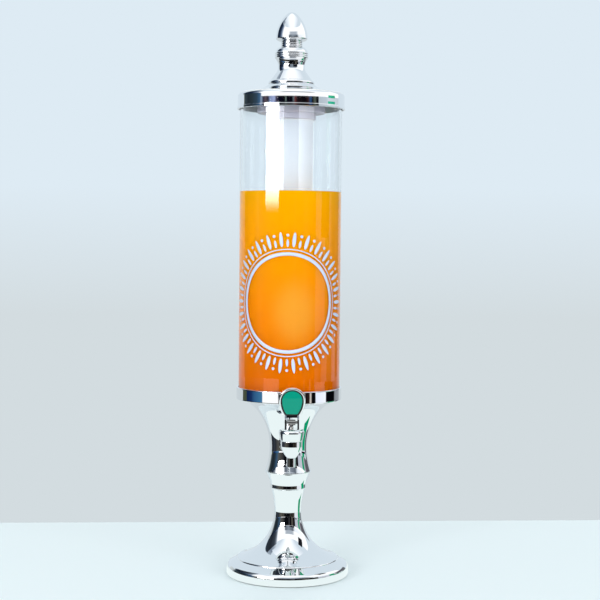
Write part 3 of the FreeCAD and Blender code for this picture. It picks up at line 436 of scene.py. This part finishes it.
def make_finial():
    """Baluster: bead, cone, waist, grooved knob and a neck with half-round ribs."""
    low, high = node_box("finial_base")
    z0, top = low[2], high[2]
    stud_hole, bead, waist, knob, neck, neck_z = 2.6, 26.2, 16.0, 19.8, 12.4, z0 + 44.6
    shape = Outline(stud_hole, z0).line(bead, z0, 0.2)
    shape.arc(bead, z0 + 4.4, leave=40, count=14, soft=0.2).line(bead - 1.2, z0 + 5.0, 0.4)
    shape.line(17.7, z0 + 14.9, 1.0).arc(waist, z0 + 20.0, count=16).line(waist, z0 + 22.5)
    shape.arc(knob - 0.4, z0 + 31.2, count=24, soft=0.5)
    for level in (31.8, 33.8, 36.2):
        shape.line(knob, z0 + level, 0.6).line(knob, z0 + level + 1.2, 0.6)
        shape.line(knob - 0.7, z0 + level + 1.6, 0.3)
    shape.arc(neck, neck_z, leave=97, count=24)
    ribs = 3
    for i in range(ribs):
        shape.arc(neck, neck_z + (i + 1) * (top - neck_z) / ribs, leave=45, count=10)
    shape.line(stud_hole, top).line(stud_hole, z0)
    return chrome_piece("finial_baluster", [turned(shape.points())], "lid", "finial_base")


def make_acorn():
    """Acorn: blunt lip, side that draws in along an arc, and a round tip. The side's arc leaves the
    lip upright, and its centre lies side - r beyond the axis. The tip's arc has its centre on the
    axis and the radius tip = (side^2 - centre^2 - height^2) / (2 (side - height)), at which both
    arcs share a tangent where they meet, on the line through both centres."""
    low, high = node_box("finial_acorn")
    z0, top, r = low[2], high[2], high[0]
    stud_hole, under, skirt, side = 2.5, 13.4, 2.8, 39.2
    lip = z0 + skirt
    height, centre = top - lip, side - r
    tip = (side ** 2 - centre ** 2 - height ** 2) / (2 * (side - height))
    join = side / (side - tip)
    shape = Outline(stud_hole, z0).line(under, z0)
    shape.arc(r - 0.6, lip - 0.7, leave=5, count=10, soft=0.3).line(r, lip, 0.4)
    shape.arc(centre * join - centre, lip + (height - tip) * join, leave=90, count=36)
    shape.arc(0, top, arrive=180, count=24).line(0, z0 + 14).line(stud_hole, z0 + 14)
    return chrome_piece("finial_acorn_cap", [turned(shape.points())], "lid", "finial_acorn")


# ---- Tap -----------------------------------------------------------------------------------------
def make_tap_body():
    """Tap body: spout, bowl and upright barrel, with the level barrel, flange and shank."""
    end = node_box("tap_body")[0][2]
    way, spout, barrel, room = 3.4, 5.2, 12.3, 8
    shape = Outline(way, end).line(spout, end, 0.4).line(spout, 149.6, 0.2)
    shape.line(spout + 0.8, 150.2, 0.3).arc(barrel, 163, leave=52, count=28, soft=0.3)
    shape.line(barrel, 168.9, 0.2).line(room, 168.9).line(room, SHANK_Z).line(6, 155.5)
    shape.line(way, 155.5)
    bore, shank, flange, wall = 3.2, 6, 11.6, -28
    level = Outline(bore, -56).line(room, -56).line(room, wall - 3).line(flange, wall - 3, 0.5)
    level.line(flange, wall, 0.3).line(shank, wall).line(shank, -10.4, 0.4).line(bore, -10.4)
    shells = [turned(shape.points(), 0, TAP_Y, TAP_STEPS),
              turned_to_tower(level.points(), SHANK_Z, TAP_STEPS)]
    return chrome_piece("tap_casting", shells, "pedestal", "tap_body")


def make_bonnet():
    """Domed cap over the body that tapers a little downwards, with a guide hole for the stem."""
    low, high = node_box("tap_bonnet")
    base, top, r = low[2] + 2, high[2], high[0]
    foot, plug, room, guide = r - 1.8, 7.9, 6.6, 2.16
    shape = Outline(room, base - 2).line(plug, base - 2).line(plug, base)
    shape.line(foot - 0.8, base, 0.3).line(foot, base + 0.8, 0.5).line(r, top - 4.2, 0.4)
    shape.arc(10, top, leave=90, count=18, soft=0.3)
    shape.line(guide, top, 0.2).line(guide, top - 3.6).line(room, top - 3.6)
    shell = turned(shape.points(), 0, TAP_Y, TAP_STEPS)
    return chrome_piece("tap_cap", [shell], "pedestal", "tap_bonnet")


for make in (make_foot, make_knop, make_bell, make_mouth_ring, make_lid, make_finial, make_acorn,
             make_tap_body, make_bonnet):
    make()

# ---- Lever ---------------------------------------------------------------------------------------
PIN = np.array([0.0, TAP_Y, 190.25])    # the lever turns round this place
LEAN = math.radians(15)                 # the lever leans forwards by this much at rest


def make_spring():
    """Coil spring round the stem: with share s along it the angle is a = 2 pi turns s, and a point
    of the wire is ((R + w cos u) cos a, (R + w cos u) sin a, height s + w sin u). Both ends close
    to a point."""
    low, high = node_box("tap_spring")
    radius, wire, turns, around, stroke = 4.6, 0.45, 4, 12, 3.175
    height = high[2] - low[2]
    s = np.concatenate([[0], np.linspace(0, 1, 24 * turns + 1), [1]])[:, None]
    w = np.full_like(s, wire)
    w[[0, -1]] = 0
    a, u = 2 * np.pi * turns * s, np.linspace(0, 2 * np.pi, around, endpoint=False)
    r = radius + w * np.cos(u)
    z = low[2] + wire + (height - 2 * wire) * s + w * np.sin(u)
    surface = np.stack([r * np.cos(a), TAP_Y + r * np.sin(a), z], -1).reshape(-1, 3)
    coil = (surface, grid_faces(len(s), around, False, True))
    obj = solid("valve_spring", [coil], FINISHES["plain_steel"], "pedestal")
    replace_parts(obj, "tap_spring")
    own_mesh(obj)


def paddle_outline(inset, soft):
    """Tear shape round the paddle, moved inwards: (across, along the lever). Its sides are arcs of
    33.07 that stand upright where the half-round top begins, so each moves in on its own centre."""
    half, bottom, middle, side = 15.4, 7.0, 27.6, 33.07
    low = bottom + inset
    foot = half - side + math.sqrt((side - inset) ** 2 - (middle - low) ** 2)
    half -= inset
    shape = Outline(-foot, low, soft).line(foot, low, soft)
    shape.arc(half, middle, arrive=90, count=40).arc(0, middle + half, count=40)
    return shape.arc(-half, middle, count=40).arc(-foot, low, count=40).points()


def paddle_surface(rows, soft=1.2, closed=False):
    """A section carried round the paddle's outline: each row (inset, depth, share) is the outline
    moved inwards by the inset and drawn towards the middle to that share, at that depth before the
    lever's middle plane. Leaned round the pin."""
    rows = np.array(rows)
    depth, share = rows[:, 1, None], rows[:, 2, None, None]
    middle = np.array([0.0, 26.0])
    outlines = np.stack([paddle_outline(inset, soft) for inset in rows[:, 0]])
    flat = middle + (outlines - middle) * share
    y = -depth * math.cos(LEAN) - flat[..., 1] * math.sin(LEAN)
    z = -depth * math.sin(LEAN) + flat[..., 1] * math.cos(LEAN)
    surface = np.stack([flat[..., 0], y, z], -1) + PIN
    count, around = surface.shape[:2]
    return surface.reshape(-1, 3), grid_faces(count, around, closed, True)


def with_share(rows):
    """Rows of (inset, depth) at full share."""
    return np.c_[rows, np.ones(len(rows))]


def rounded_rows(inset, front, back, size):
    """Section rows round an edge: quarter turns of that size at the front and the back."""
    t = np.linspace(0, np.pi / 2, 7)
    back_rows = np.stack([inset + size * (1 - np.sin(t)), back + size * (1 - np.cos(t))], -1)
    front_rows = np.stack([inset + size * (1 - np.cos(t)), front - size * (1 - np.sin(t))], -1)
    return back_rows, front_rows


def make_lever():
    """Lever: rounded paddle with a recess, and the forked heel that straddles the stem's eye. Both
    cheeks and the neck between them are (y, z) outlines round the pin, pulled across."""
    half_t, rim, sink, lip_r = 2.5, 2.4, 1.1, 0.5
    back, front = rounded_rows(0.0, half_t, -half_t, 1.2)
    t = np.linspace(0, np.pi / 2, 5)
    lip = np.stack([rim - lip_r + lip_r * np.sin(t), half_t - lip_r * (1 - np.cos(t))], -1)
    flat_back = [[0, -half_t, 0]]
    floor = [[rim, half_t - sink, 1], [rim, half_t - sink, 0]]
    rows = np.vstack([flat_back, with_share(np.vstack([back, front, lip])), floor])
    reach, c, d = 9.5, math.cos(LEAN), math.sin(LEAN)
    heel_front, heel_back, heel_foot = -7.4, 4.6, -7.2
    behind = [half_t * c - reach * d, reach * c + half_t * d]
    before = [-half_t * c - reach * d, reach * c - half_t * d]
    cheek = np.array([[heel_front, heel_foot], [heel_back, heel_foot], [heel_back, 0.0],
                      behind, before, [heel_front, -1.5]])
    neck = np.array([[heel_back - 0.9, 6.0], behind, before, [heel_front + 2.2, 6.0]])
    shells = [paddle_surface(rows)]
    for x0, x1, outline in ((-8.2, -6.3, cheek), (6.3, 8.2, cheek), (-6.4, 6.4, neck)):
        count = len(outline)
        side = np.concatenate([np.c_[np.full(count, x), outline] for x in (x0, x1)])
        centre = np.repeat([[x0, *outline.mean(0)], [x1, *outline.mean(0)]], count, 0)
        places = np.concatenate([centre[:count], side, centre[count:]]) + PIN
        shells.append((places, grid_faces(4, count, False, True)))
    return chrome_piece("lever_casting", shells, "tap_lever_body", "tap_lever")


def make_badge():
    """Plain enamel badge in the paddle's recess. Its front swells by crown (1 - share^2), with the
    share of the way from its middle to its edge."""
    inset, depth, back, edge, crown = 3.9, 2.8, 1.4, 0.5, 0.5
    back_rows, front_rows = rounded_rows(inset, depth, back, edge)
    share = np.linspace(1, 0, 9)[1:]
    dome = np.c_[np.full(8, inset + edge), depth + crown * (1 - share ** 2), share]
    side = with_share(np.vstack([back_rows[-1:], front_rows]))
    surface = paddle_surface(np.vstack([[[inset, back, 0]], side, dome]), 0.7)
    obj = solid("lever_badge_face", [surface], FINISHES["green_enamel"], "tap_lever_body")
    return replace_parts(obj, "lever_badge")


def make_groove_shade():
    """Black strip in the groove between the paddle's rim and the badge: painted shade for the dark
    seen down in that recess.
    """
    rows = [[2.3, 1.3], [2.3, 2.0], [2.6, 2.25], [3.7, 2.25], [4.0, 2.0], [4.0, 1.3]]
    shell = paddle_surface(with_share(np.array(rows)), 1.0, closed=True)
    return solid("lever_groove_shade", [shell], FINISHES["black_rubber"], "tap_lever_body")


make_spring()
make_lever()
make_badge()
make_groove_shade()

# ---- Tube, drink and print -----------------------------------------------------------------------
tube_low, tube_high = node_box("tower_tube")
TUBE_R = 60.0
TUBE_BORE = 57.0
INK = 0.04            # thickness of the print
INK_LIFT = 0.05       # the middle of its thickness stands this far off the tube
DRINK_TOP = 454.6


def make_tube():
    """Clear tube with softened ends."""
    bottom, top = tube_low[2], tube_high[2]
    shape = Outline(TUBE_BORE, bottom, 0.3).line(TUBE_R, bottom, 0.6).line(TUBE_R, top, 0.6)
    shape.line(TUBE_BORE, top, 0.3)
    shell = turned(shape.points(), steps=FINE_STEPS)
    obj = solid("clear_tube", [shell], FINISHES["clear_acrylic"], "reservoir")
    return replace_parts(obj, "tower_tube")


def make_drink():
    """Drink in the tube: a cylinder that wets the wall, with a raised edge round its top."""
    r = TUBE_BORE + 0.05
    bottom = tube_low[2] + 0.2
    shape = Outline(0, bottom).line(r, bottom).line(r, DRINK_TOP + 1.2)
    shape.arc(r - 2.5, DRINK_TOP, arrive=180, count=8).line(0, DRINK_TOP)
    material = orange_drink(bottom * MM, DRINK_TOP * MM)
    shell = turned(shape.points(), steps=FINE_STEPS)
    obj = solid("orange_drink", [shell], material, "reservoir")
    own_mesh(obj)


def on_tube(across, up):
    """A flat place wrapped onto the tube: the angle is the length across over the tube's radius."""
    angle = across / TUBE_R
    r = TUBE_R + INK_LIFT
    return np.stack([r * np.sin(angle), -r * np.cos(angle), up], -1)


def printed(name, patches, middle_z, turn):
    """Print made of patches (across, up), wrapped round the tube, with a thin body by Solidify."""
    places, faces, start = [], [], 0
    for across, up in patches:
        rows, columns = across.shape
        places.append(on_tube(across + turn, up + middle_z).reshape(-1, 3))
        faces.append(grid_faces(rows, columns, False, False) + start)
        start += rows * columns
    places, faces = np.vstack(places) * MM, np.vstack(faces)
    mesh = bpy.data.meshes.new(name)
    mesh.from_pydata(places.tolist(), [], faces.tolist())
    mesh.materials.append(screen_ink())
    mesh.polygons.foreach_set("use_smooth", [True] * len(mesh.polygons))
    obj = linked(name, mesh)
    body = obj.modifiers.new("body", "SOLIDIFY")
    body.thickness = INK * MM
    body.offset = 0
    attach(obj, "reservoir")


def ring_patch(radius, width, steps=FINE_STEPS):
    """Flat ring: (rho cos t, rho sin t) with rho across the line's width."""
    t = np.linspace(0, 2 * np.pi, steps + 1)
    rho = np.linspace(radius - width / 2, radius + width / 2, 4)[:, None]
    return rho * np.cos(t), rho * np.sin(t)


def ray_patch(inner, outer, width, angle):
    """Ray that points outwards from a ring: its half width is 3/4 width sqrt(s) (1 - s)^0.6 for the
    share s along its length, so it is fullest before its middle and runs to a fine point."""
    s = np.linspace(0, 1, 15)
    v = np.linspace(-1, 1, 5)[:, None]
    rho = inner + (outer - inner) * s + 0 * v
    over = v * width * 0.75 * np.sqrt(s) * np.clip(1 - s, 0.0, 1.0) ** 0.6
    c, d = math.cos(angle), math.sin(angle)
    return rho * c - over * d, rho * d + over * c


def sunburst():
    """A broad ring with a fine one round it, long and short rays in turn outside them, and a dot
    beyond each short ray."""
    patches = [ring_patch(56.2, 4.0), ring_patch(61.4, 1.2)]
    count, ray_foot, dot_at = 30, 64.0, 77.5
    for i in range(count):
        t = 2 * np.pi * i / count
        u = t + np.pi / count
        patches.append(ray_patch(ray_foot, 81.5, 6.0, t))
        patches.append(ray_patch(ray_foot, 73.0, 4.2, u))
        across, up = ring_patch(0.85, 1.65, 16)
        patches.append((across + dot_at * math.cos(u), up + dot_at * math.sin(u)))
    return patches


PRINT_MIDDLE = 327.2                    # height of the print's middle
PRINT_TURN = math.radians(-5.7)         # and its bearing from the tap

make_tube()
make_drink()
printed("tube_print", sunburst(), PRINT_MIDDLE, PRINT_TURN * TUBE_R)

# ---- Set, light and camera -----------------------------------------------------------------------
BACK_EDGE = 0.30      # the table's back edge lies this far behind the tower's axis
EDGE = 0.40           # the bright part of the reflected table ends this far from the axis
FLOOR_R = 1.5         # here the reflected floor changes from near to far
ROOM_R = 2.3          # the room's cards stand on this radius
NEAR_R = 2.2          # and those in front of them on this one
CAMERA_TURN = math.radians(-3.2)        # the camera's bearing from the front
WHITE = "#FFFFFF"


def studio_piece(name, surface, rows, columns, material):
    """Grid of places that is seen only in reflections, with its own UV: across and along."""
    mesh = bpy.data.meshes.new(name)
    quads = grid_faces(rows, columns, False, False)
    mesh.from_pydata(surface.reshape(-1, 3).tolist(), [], quads.tolist())
    corner = np.empty(len(mesh.loops), dtype=np.int64)
    mesh.loops.foreach_get("vertex_index", corner)
    uv = np.stack([(corner % columns) / (columns - 1), (corner // columns) / (rows - 1)], -1)
    mesh.uv_layers.new(name="card").data.foreach_set("uv", uv.ravel())
    mesh.materials.append(material)
    obj = linked(name, mesh)
    obj.visible_camera = False
    obj.visible_diffuse = False
    obj.visible_transmission = False
    obj.visible_shadow = False


def glowing(name, stops, strength, wander, fade):
    """Light-giving finish: colours along the card, whose edges a noise moves a little sideways so
    that they look like a room, and a soft lower end where there is a fade."""
    material = bpy.data.materials.new(name)
    material.use_nodes = True
    tree = material.node_tree
    tree.nodes.remove(tree.nodes["Principled BSDF"])
    place = add(tree, "ShaderNodeUVMap", uv_map="card")
    split = add(tree, "ShaderNodeSeparateXYZ", [("Vector", place, "UV")])
    room = add(tree, "ShaderNodeTexCoord")
    stretched = add(tree, "ShaderNodeMapping", [("Vector", room, "Object")], in_Scale=(7, 7, 2.5))
    noise = add(tree, "ShaderNodeTexNoise", [("Vector", stretched, "Vector")], in_Scale=1.0,
                in_Detail=3.0)
    moved = add(tree, "ShaderNodeMath", [(0, noise, "Fac"), (2, split, "X")],
                operation="MULTIPLY_ADD")
    moved.inputs[1].default_value = wander
    centred = add(tree, "ShaderNodeMath", [(0, moved, "Value")], operation="SUBTRACT")
    centred.inputs[1].default_value = wander / 2
    ramp = add(tree, "ShaderNodeValToRGB", [("Fac", centred, "Value")])
    band = ramp.color_ramp.elements
    band[0].position, band[0].color = stops[0][0], linear(stops[0][1])
    band[1].position, band[1].color = stops[-1][0], linear(stops[-1][1])
    for share, colour in stops[1:-1]:
        band.new(share).color = linear(colour)
    glow = add(tree, "ShaderNodeEmission", [("Color", ramp, "Color")], in_Strength=strength)
    if fade:
        clear = add(tree, "ShaderNodeBsdfTransparent")
        share = add(tree, "ShaderNodeMapRange", [("Value", split, "Y")],
                    interpolation_type="SMOOTHSTEP", in_From_Min=0.0, in_From_Max=fade)
        glow = add(tree, "ShaderNodeMixShader", [("Fac", share, "Result"), (1, clear, "BSDF"),
                                                 (2, glow, "Emission")])
    tree.links.new(glow.outputs[0], tree.nodes["Material Output"].inputs["Surface"])
    return material


def card(name, path, stops, strength=1.0, wander=1.5, fade=0.0):
    """Curved card round the tower, seen only in reflections, coloured by (bearing, colour) stops.
    Place: (rho sin a, -rho cos a, z), with radius and height along the path, and the bearing a in
    degrees from the camera. Its edges wander by that many degrees."""
    first, last = stops[0][0], stops[-1][0]
    columns = 49
    a = np.radians(np.linspace(first, last, columns)) + CAMERA_TURN
    steps = np.linspace(0, len(path) - 1, 4 * (len(path) - 1) + 1)
    rho = np.interp(steps, range(len(path)), [r for r, _ in path])[:, None]
    z = np.interp(steps, range(len(path)), [h for _, h in path])[:, None]
    surface = np.stack([rho * np.sin(a), -rho * np.cos(a), z + 0 * a], -1)
    span = last - first
    shares = [((bearing - first) / span, colour) for bearing, colour in stops]
    finish = glowing(name, shares, strength, wander / span, fade)
    studio_piece(name, surface, len(steps), columns, finish)


def standing(low, high, radius=ROOM_R):
    """Path of a card that stands between two heights."""
    return [(radius, low), (radius, high)]


# What the chrome mirrors, from the table upwards: (bearing in degrees, colour) along each card.
SHADE_TOP, LID_TOP, GAP_TOP, WAIST_TOP = 0.745, 0.776, 0.79, 0.925
HIGH_TOP, HIGHER_TOP, UPPER_TOP = 1.3, 1.8, 2.6
LEFT_DARK = [(-120, "#5C6346"), (-117, "#3E4A50"), (-104, "#262F36"), (-90, "#2E3B42"),
             (-78, "#33485A"), (-70, "#3F6284"), (-66, "#8FA2BC")]
LEFT_HIGH = [(-126, "#3A4858"), (-112, "#141C2C"), (-92, "#26344C"), (-78, "#7A8CA4"), (-66, WHITE)]

card("near_table", [(0.06, 0.001), (EDGE, 0.001)], [(-122, "#F4FFFE"), (140, "#F4FFFE")], 1.05)
card("near_floor", [(EDGE, 0.002), (FLOOR_R, 0.002)],
     [(-120, "#3C434A"), (-106, "#23282E"), (-96, "#353E48"), (-84, "#2C3036"), (-72, "#4A4C4C"),
      (-56, "#5C5A52"), (-40, "#3A3834"), (-36, "#55544E"), (-28, "#1A1A1A"), (-10, "#0B0C10"),
      (12, "#0B0C10"), (24, "#3C3A34"), (34, "#1C1A1A"), (48, "#4A4640"), (56, "#1C1A1A"),
      (58.5, "#F0F4FA"), (120, "#F0F4FA"), (122, "#303338"), (136, "#6A6E74")])
card("green_cloth", [(0.21, 0.004), (1.3, 0.004)], [(93, "#10A070"), (118, "#10A070")], 1.0, 6.0)
card("far_floor", [(FLOOR_R, 0.003), (ROOM_R, 0.003)],
     [(-118, "#4E5142"), (-104, "#3E4A38"), (-102, "#10204C"), (-88, "#16305C"), (-80, "#2C5680"),
      (-59, "#3F769C"), (-58, WHITE), (-23, WHITE), (-22, "#0A0A0E"), (32, "#0A0A0E"),
      (33, "#B9AFA6"), (36, "#0A0A0E"), (42, "#2A1C18"), (45, "#141010"), (46, "#D8CFC4"),
      (49, "#B8B0A8"), (50, "#05060A"), (59, "#05060A"), (60, "#E8EEFC"), (86.5, "#F4F8FF"),
      (87.5, "#05060A"), (115, "#05060A"), (117, "#84888E"), (140, "#A0A4AA")], 1.15)
card("low_room", standing(0.002, SHADE_TOP),
     [(-140, "#DCE4E6"), (-124, "#C4CCCE"), (-117, "#3E4A50"), (-100, "#1E262C"), (-84, "#2A3640"),
      (-70, "#3A5A78"), (-62, "#5A5E60"), (-44, "#4C4A46"), (-26, "#24282E"), (-24, "#0B0C10"),
      (6, "#0B0C10"), (11, "#4A4A50"), (16, "#0B0C10"), (26, "#101012"), (34, "#625E56"),
      (42, "#3E3A36"), (46, "#0B0C10"), (58, "#0B0C10"), (60, "#C4C8D4"), (84, "#D0D4DE"),
      (86, "#10A070"), (97, "#10A070"), (99, "#C8C8D0"), (108, "#6E6A72"), (116, "#5C5A62"),
      (124, "#64646A"), (140, "#6E7276")])
card("lid_room", standing(SHADE_TOP, LID_TOP),
     LEFT_DARK + [(-62, "#2A2A40"), (-56, "#5E5058"), (-50, "#2E2A38"), (-46, "#7E8FB8"),
                  (-36, "#A8B4DC"), (-31, "#3C3448"), (-26, "#070A1E"), (-14, "#04050C"),
                  (-11.5, "#6A7A74"), (-9, "#050510"), (2, "#050510"), (4.5, "#5A6A70"),
                  (8, "#6A3634"), (13, "#1A1418"), (30, "#0B0A0E"), (36, "#3A2420"),
                  (42, "#2A5280"), (45, "#101010"), (51, "#5A6258"), (56, "#151820"),
                  (60, "#0A0A0A")], 1.0, 3.0)
card("lid_pale", standing(SHADE_TOP, LID_TOP),
     [(60.5, "#BECAD3"), (80, "#C8D4DE"), (86, "#DCE6EE"), (120, "#CED8E0")])
card("green_mark", standing(0.7645, 0.7715, NEAR_R), [(85, "#30C89C"), (106, "#10A878")])
card("green_mark_low", standing(0.7485, 0.7555, NEAR_R), [(84, "#40CCA6"), (106, "#20B088")])
card("white_gap", standing(LID_TOP, GAP_TOP), [(-66, WHITE), (120, WHITE)], 1.25)
card("left_gap", standing(LID_TOP, GAP_TOP), LEFT_DARK)
card("waist_room", standing(GAP_TOP, WAIST_TOP),
     [(-124, "#141C2C"), (-112, "#0C121E"), (-80, "#1E2A40"), (-72, "#2A3850"), (-70, WHITE),
      (-28, WHITE), (-26, "#0E1018"), (-14, "#1C2028"), (-10, "#6E7884"), (12, "#7C8690"),
      (15, "#1C2028"), (48, "#0E1018"), (52, WHITE), (120, WHITE)], 1.25)
card("high_room", standing(WAIST_TOP, HIGH_TOP),
     LEFT_HIGH + [(-24, WHITE), (-18, "#5C646E"), (6, "#868E98"), (40, "#5C646E"), (52, "#E8EEF4"),
                  (120, WHITE)], 1.2, 8.0)
card("higher_room", standing(HIGH_TOP, HIGHER_TOP),
     LEFT_HIGH + [(-22, WHITE), (-10, "#A8B0BA"), (34, "#A8B0BA"), (50, WHITE), (120, WHITE)],
     1.2, 8.0)
card("upper_room", standing(HIGHER_TOP, UPPER_TOP), LEFT_HIGH + [(120, WHITE)], 1.2)
card("left_top", [(ROOM_R, UPPER_TOP), (1.9, 3.4)],
     [(-126, "#A8B4C0"), (-108, "#7C8898"), (-92, "#A0ACBA"), (-76, "#DCE4EC")])
card("left_near", [(0.8, 0.38), (0.40, 0.53)],
     [(-120, "#30363E"), (-104, "#262C34"), (-84, "#3C444E"), (-72, "#8A94A0")])
card("dark_drop", [(0.5, 0.40), (0.36, 0.50)], [(70, "#0E1014"), (92, "#24282E")])
card("low_right", standing(0.002, 0.14, NEAR_R),
     [(60, "#A8B0B8"), (74, "#4A5056"), (78, "#C8D0D8"), (92, "#D8E0E8"), (94, "#10A070"),
      (110, "#10A070"), (112, "#E4ECF2"), (126, "#D8E0E8")])
card("softbox", standing(0.455, 0.752, 2.25), [(-56.5, WHITE), (-26, WHITE)], 24.0, 0.0, 0.24)


def make_ceiling():
    """Pale ceiling in front of the tower, brightest in its middle and seen only in reflections."""
    across, along = np.linspace(-1.6, 1.6, 9), np.linspace(-2.3, 0.5, 9)
    x, y = np.meshgrid(across, along)
    surface = np.stack([x, y, np.full_like(x, UPPER_TOP)], -1)
    stops = [(0.0, "#C4D0DA"), (0.3, "#F4F8FC"), (0.5, WHITE), (0.7, "#F4F8FC"), (1.0, "#C4D0DA")]
    finish = glowing("ceiling", stops, 1.25, 0.0, 0.0)
    studio_piece("ceiling", surface, len(along), len(across), finish)


def make_table():
    """Pale table that ends a little behind the tower."""
    side, front, thickness = 2.0, -1.3, 0.03
    top = np.array([[-side, front, 0], [side, front, 0],
                    [side, BACK_EDGE, 0], [-side, BACK_EDGE, 0]])
    lower = top - [0, 0, thickness]
    faces = [(0, 1, 2, 3), (7, 6, 5, 4), (0, 4, 5, 1), (1, 5, 6, 2), (2, 6, 7, 3), (3, 7, 4, 0)]
    mesh = bpy.data.meshes.new("table")
    mesh.from_pydata(np.vstack([top, lower]).tolist(), [], faces)
    laminate = surface_material("table_laminate", "#E9F4F6", Roughness=0.8, Specular_IOR_Level=0.0)
    mesh.materials.append(laminate[0])
    obj = linked("table", mesh)


def lamp(name, place, target, width, height, power):
    """Area lamp aimed at a place, hidden from the camera and from reflections."""
    data = bpy.data.lights.new(name, "AREA")
    data.shape = "RECTANGLE"
    data.size = width
    data.size_y = height
    data.energy = power
    obj = linked(name, data)
    turn = (Vector(target) - Vector(place)).to_track_quat("-Z", "Y").to_matrix().to_4x4()
    obj.matrix_world = Matrix.Translation(place) @ turn
    obj.visible_glossy = False
    obj.visible_camera = False


def make_world():
    """Soft even light, and for the camera, mirrors and glass a pale wall that darkens a little
    below the horizon."""
    world = bpy.data.worlds.new("studio")
    world.use_nodes = True
    bpy.context.scene.world = world
    tree = world.node_tree
    place = add(tree, "ShaderNodeTexCoord")
    height = add(tree, "ShaderNodeSeparateXYZ", [("Vector", place, "Generated")])
    share = add(tree, "ShaderNodeMapRange", [("Value", height, "Z")], in_From_Min=-0.06,
                in_From_Max=0.03)
    wall = add(tree, "ShaderNodeValToRGB", [("Fac", share, "Result")])
    wall.color_ramp.elements[0].color = linear("#D3DCE0")
    wall.color_ramp.elements[1].color = linear("#DEEBF4")
    shown = tree.nodes["Background"]
    tree.links.new(wall.outputs["Color"], shown.inputs["Color"])
    soft = add(tree, "ShaderNodeBackground", in_Color=linear("#EEF4F8"), in_Strength=0.80)
    path = add(tree, "ShaderNodeLightPath")
    seen = add(tree, "ShaderNodeMath", [(0, path, "Is Camera Ray"), (1, path, "Is Glossy Ray")],
               operation="MAXIMUM")
    seen = add(tree, "ShaderNodeMath", [(0, seen, "Value"), (1, path, "Is Transmission Ray")],
               operation="MAXIMUM")
    mix = add(tree, "ShaderNodeMixShader", [("Fac", seen, "Value"), (1, soft, "Background"),
                                            (2, shown, "Background")])
    tree.links.new(mix.outputs["Shader"], tree.nodes["World Output"].inputs["Surface"])


def make_camera():
    """Camera a little above the tower's middle: turned round it, then panned, tilted and rolled."""
    distance, height = 1.666, 0.410
    pan, down, roll = (math.radians(angle) for angle in (0.42501, 2.823, 0.5))
    lens, width = 1406.2, 600           # of the lens and the render, both in pixels
    data = bpy.data.cameras.new("camera")
    data.sensor_width = 36
    data.lens = data.sensor_width * lens / width
    camera = linked("camera", data)
    aside, back = distance * math.sin(CAMERA_TURN), -distance * math.cos(CAMERA_TURN)
    camera.matrix_world = (
        Matrix.Translation((aside, back, height))
        @ Matrix.Rotation(CAMERA_TURN - pan, 4, "Z")
        @ Matrix.Rotation(math.pi / 2 - down, 4, "X")
        @ Matrix.Rotation(roll, 4, "Z")
    )
    bpy.context.scene.camera = camera


make_ceiling()
make_table()
lamp("key", (-2.6, -4.0, 1.05), (0, 0, 0.35), 2.4, 2.4, 152)
lamp("fill", (2.6, -4.0, 1.05), (0, 0, 0.35), 3.2, 2.4, 120)
lamp("back", (0.6, 3.2, 2.8), (0, 0, 0.4), 2.4, 2.4, 24)
make_world()
make_camera()
bpy.context.scene.view_settings.view_transform = "Standard"
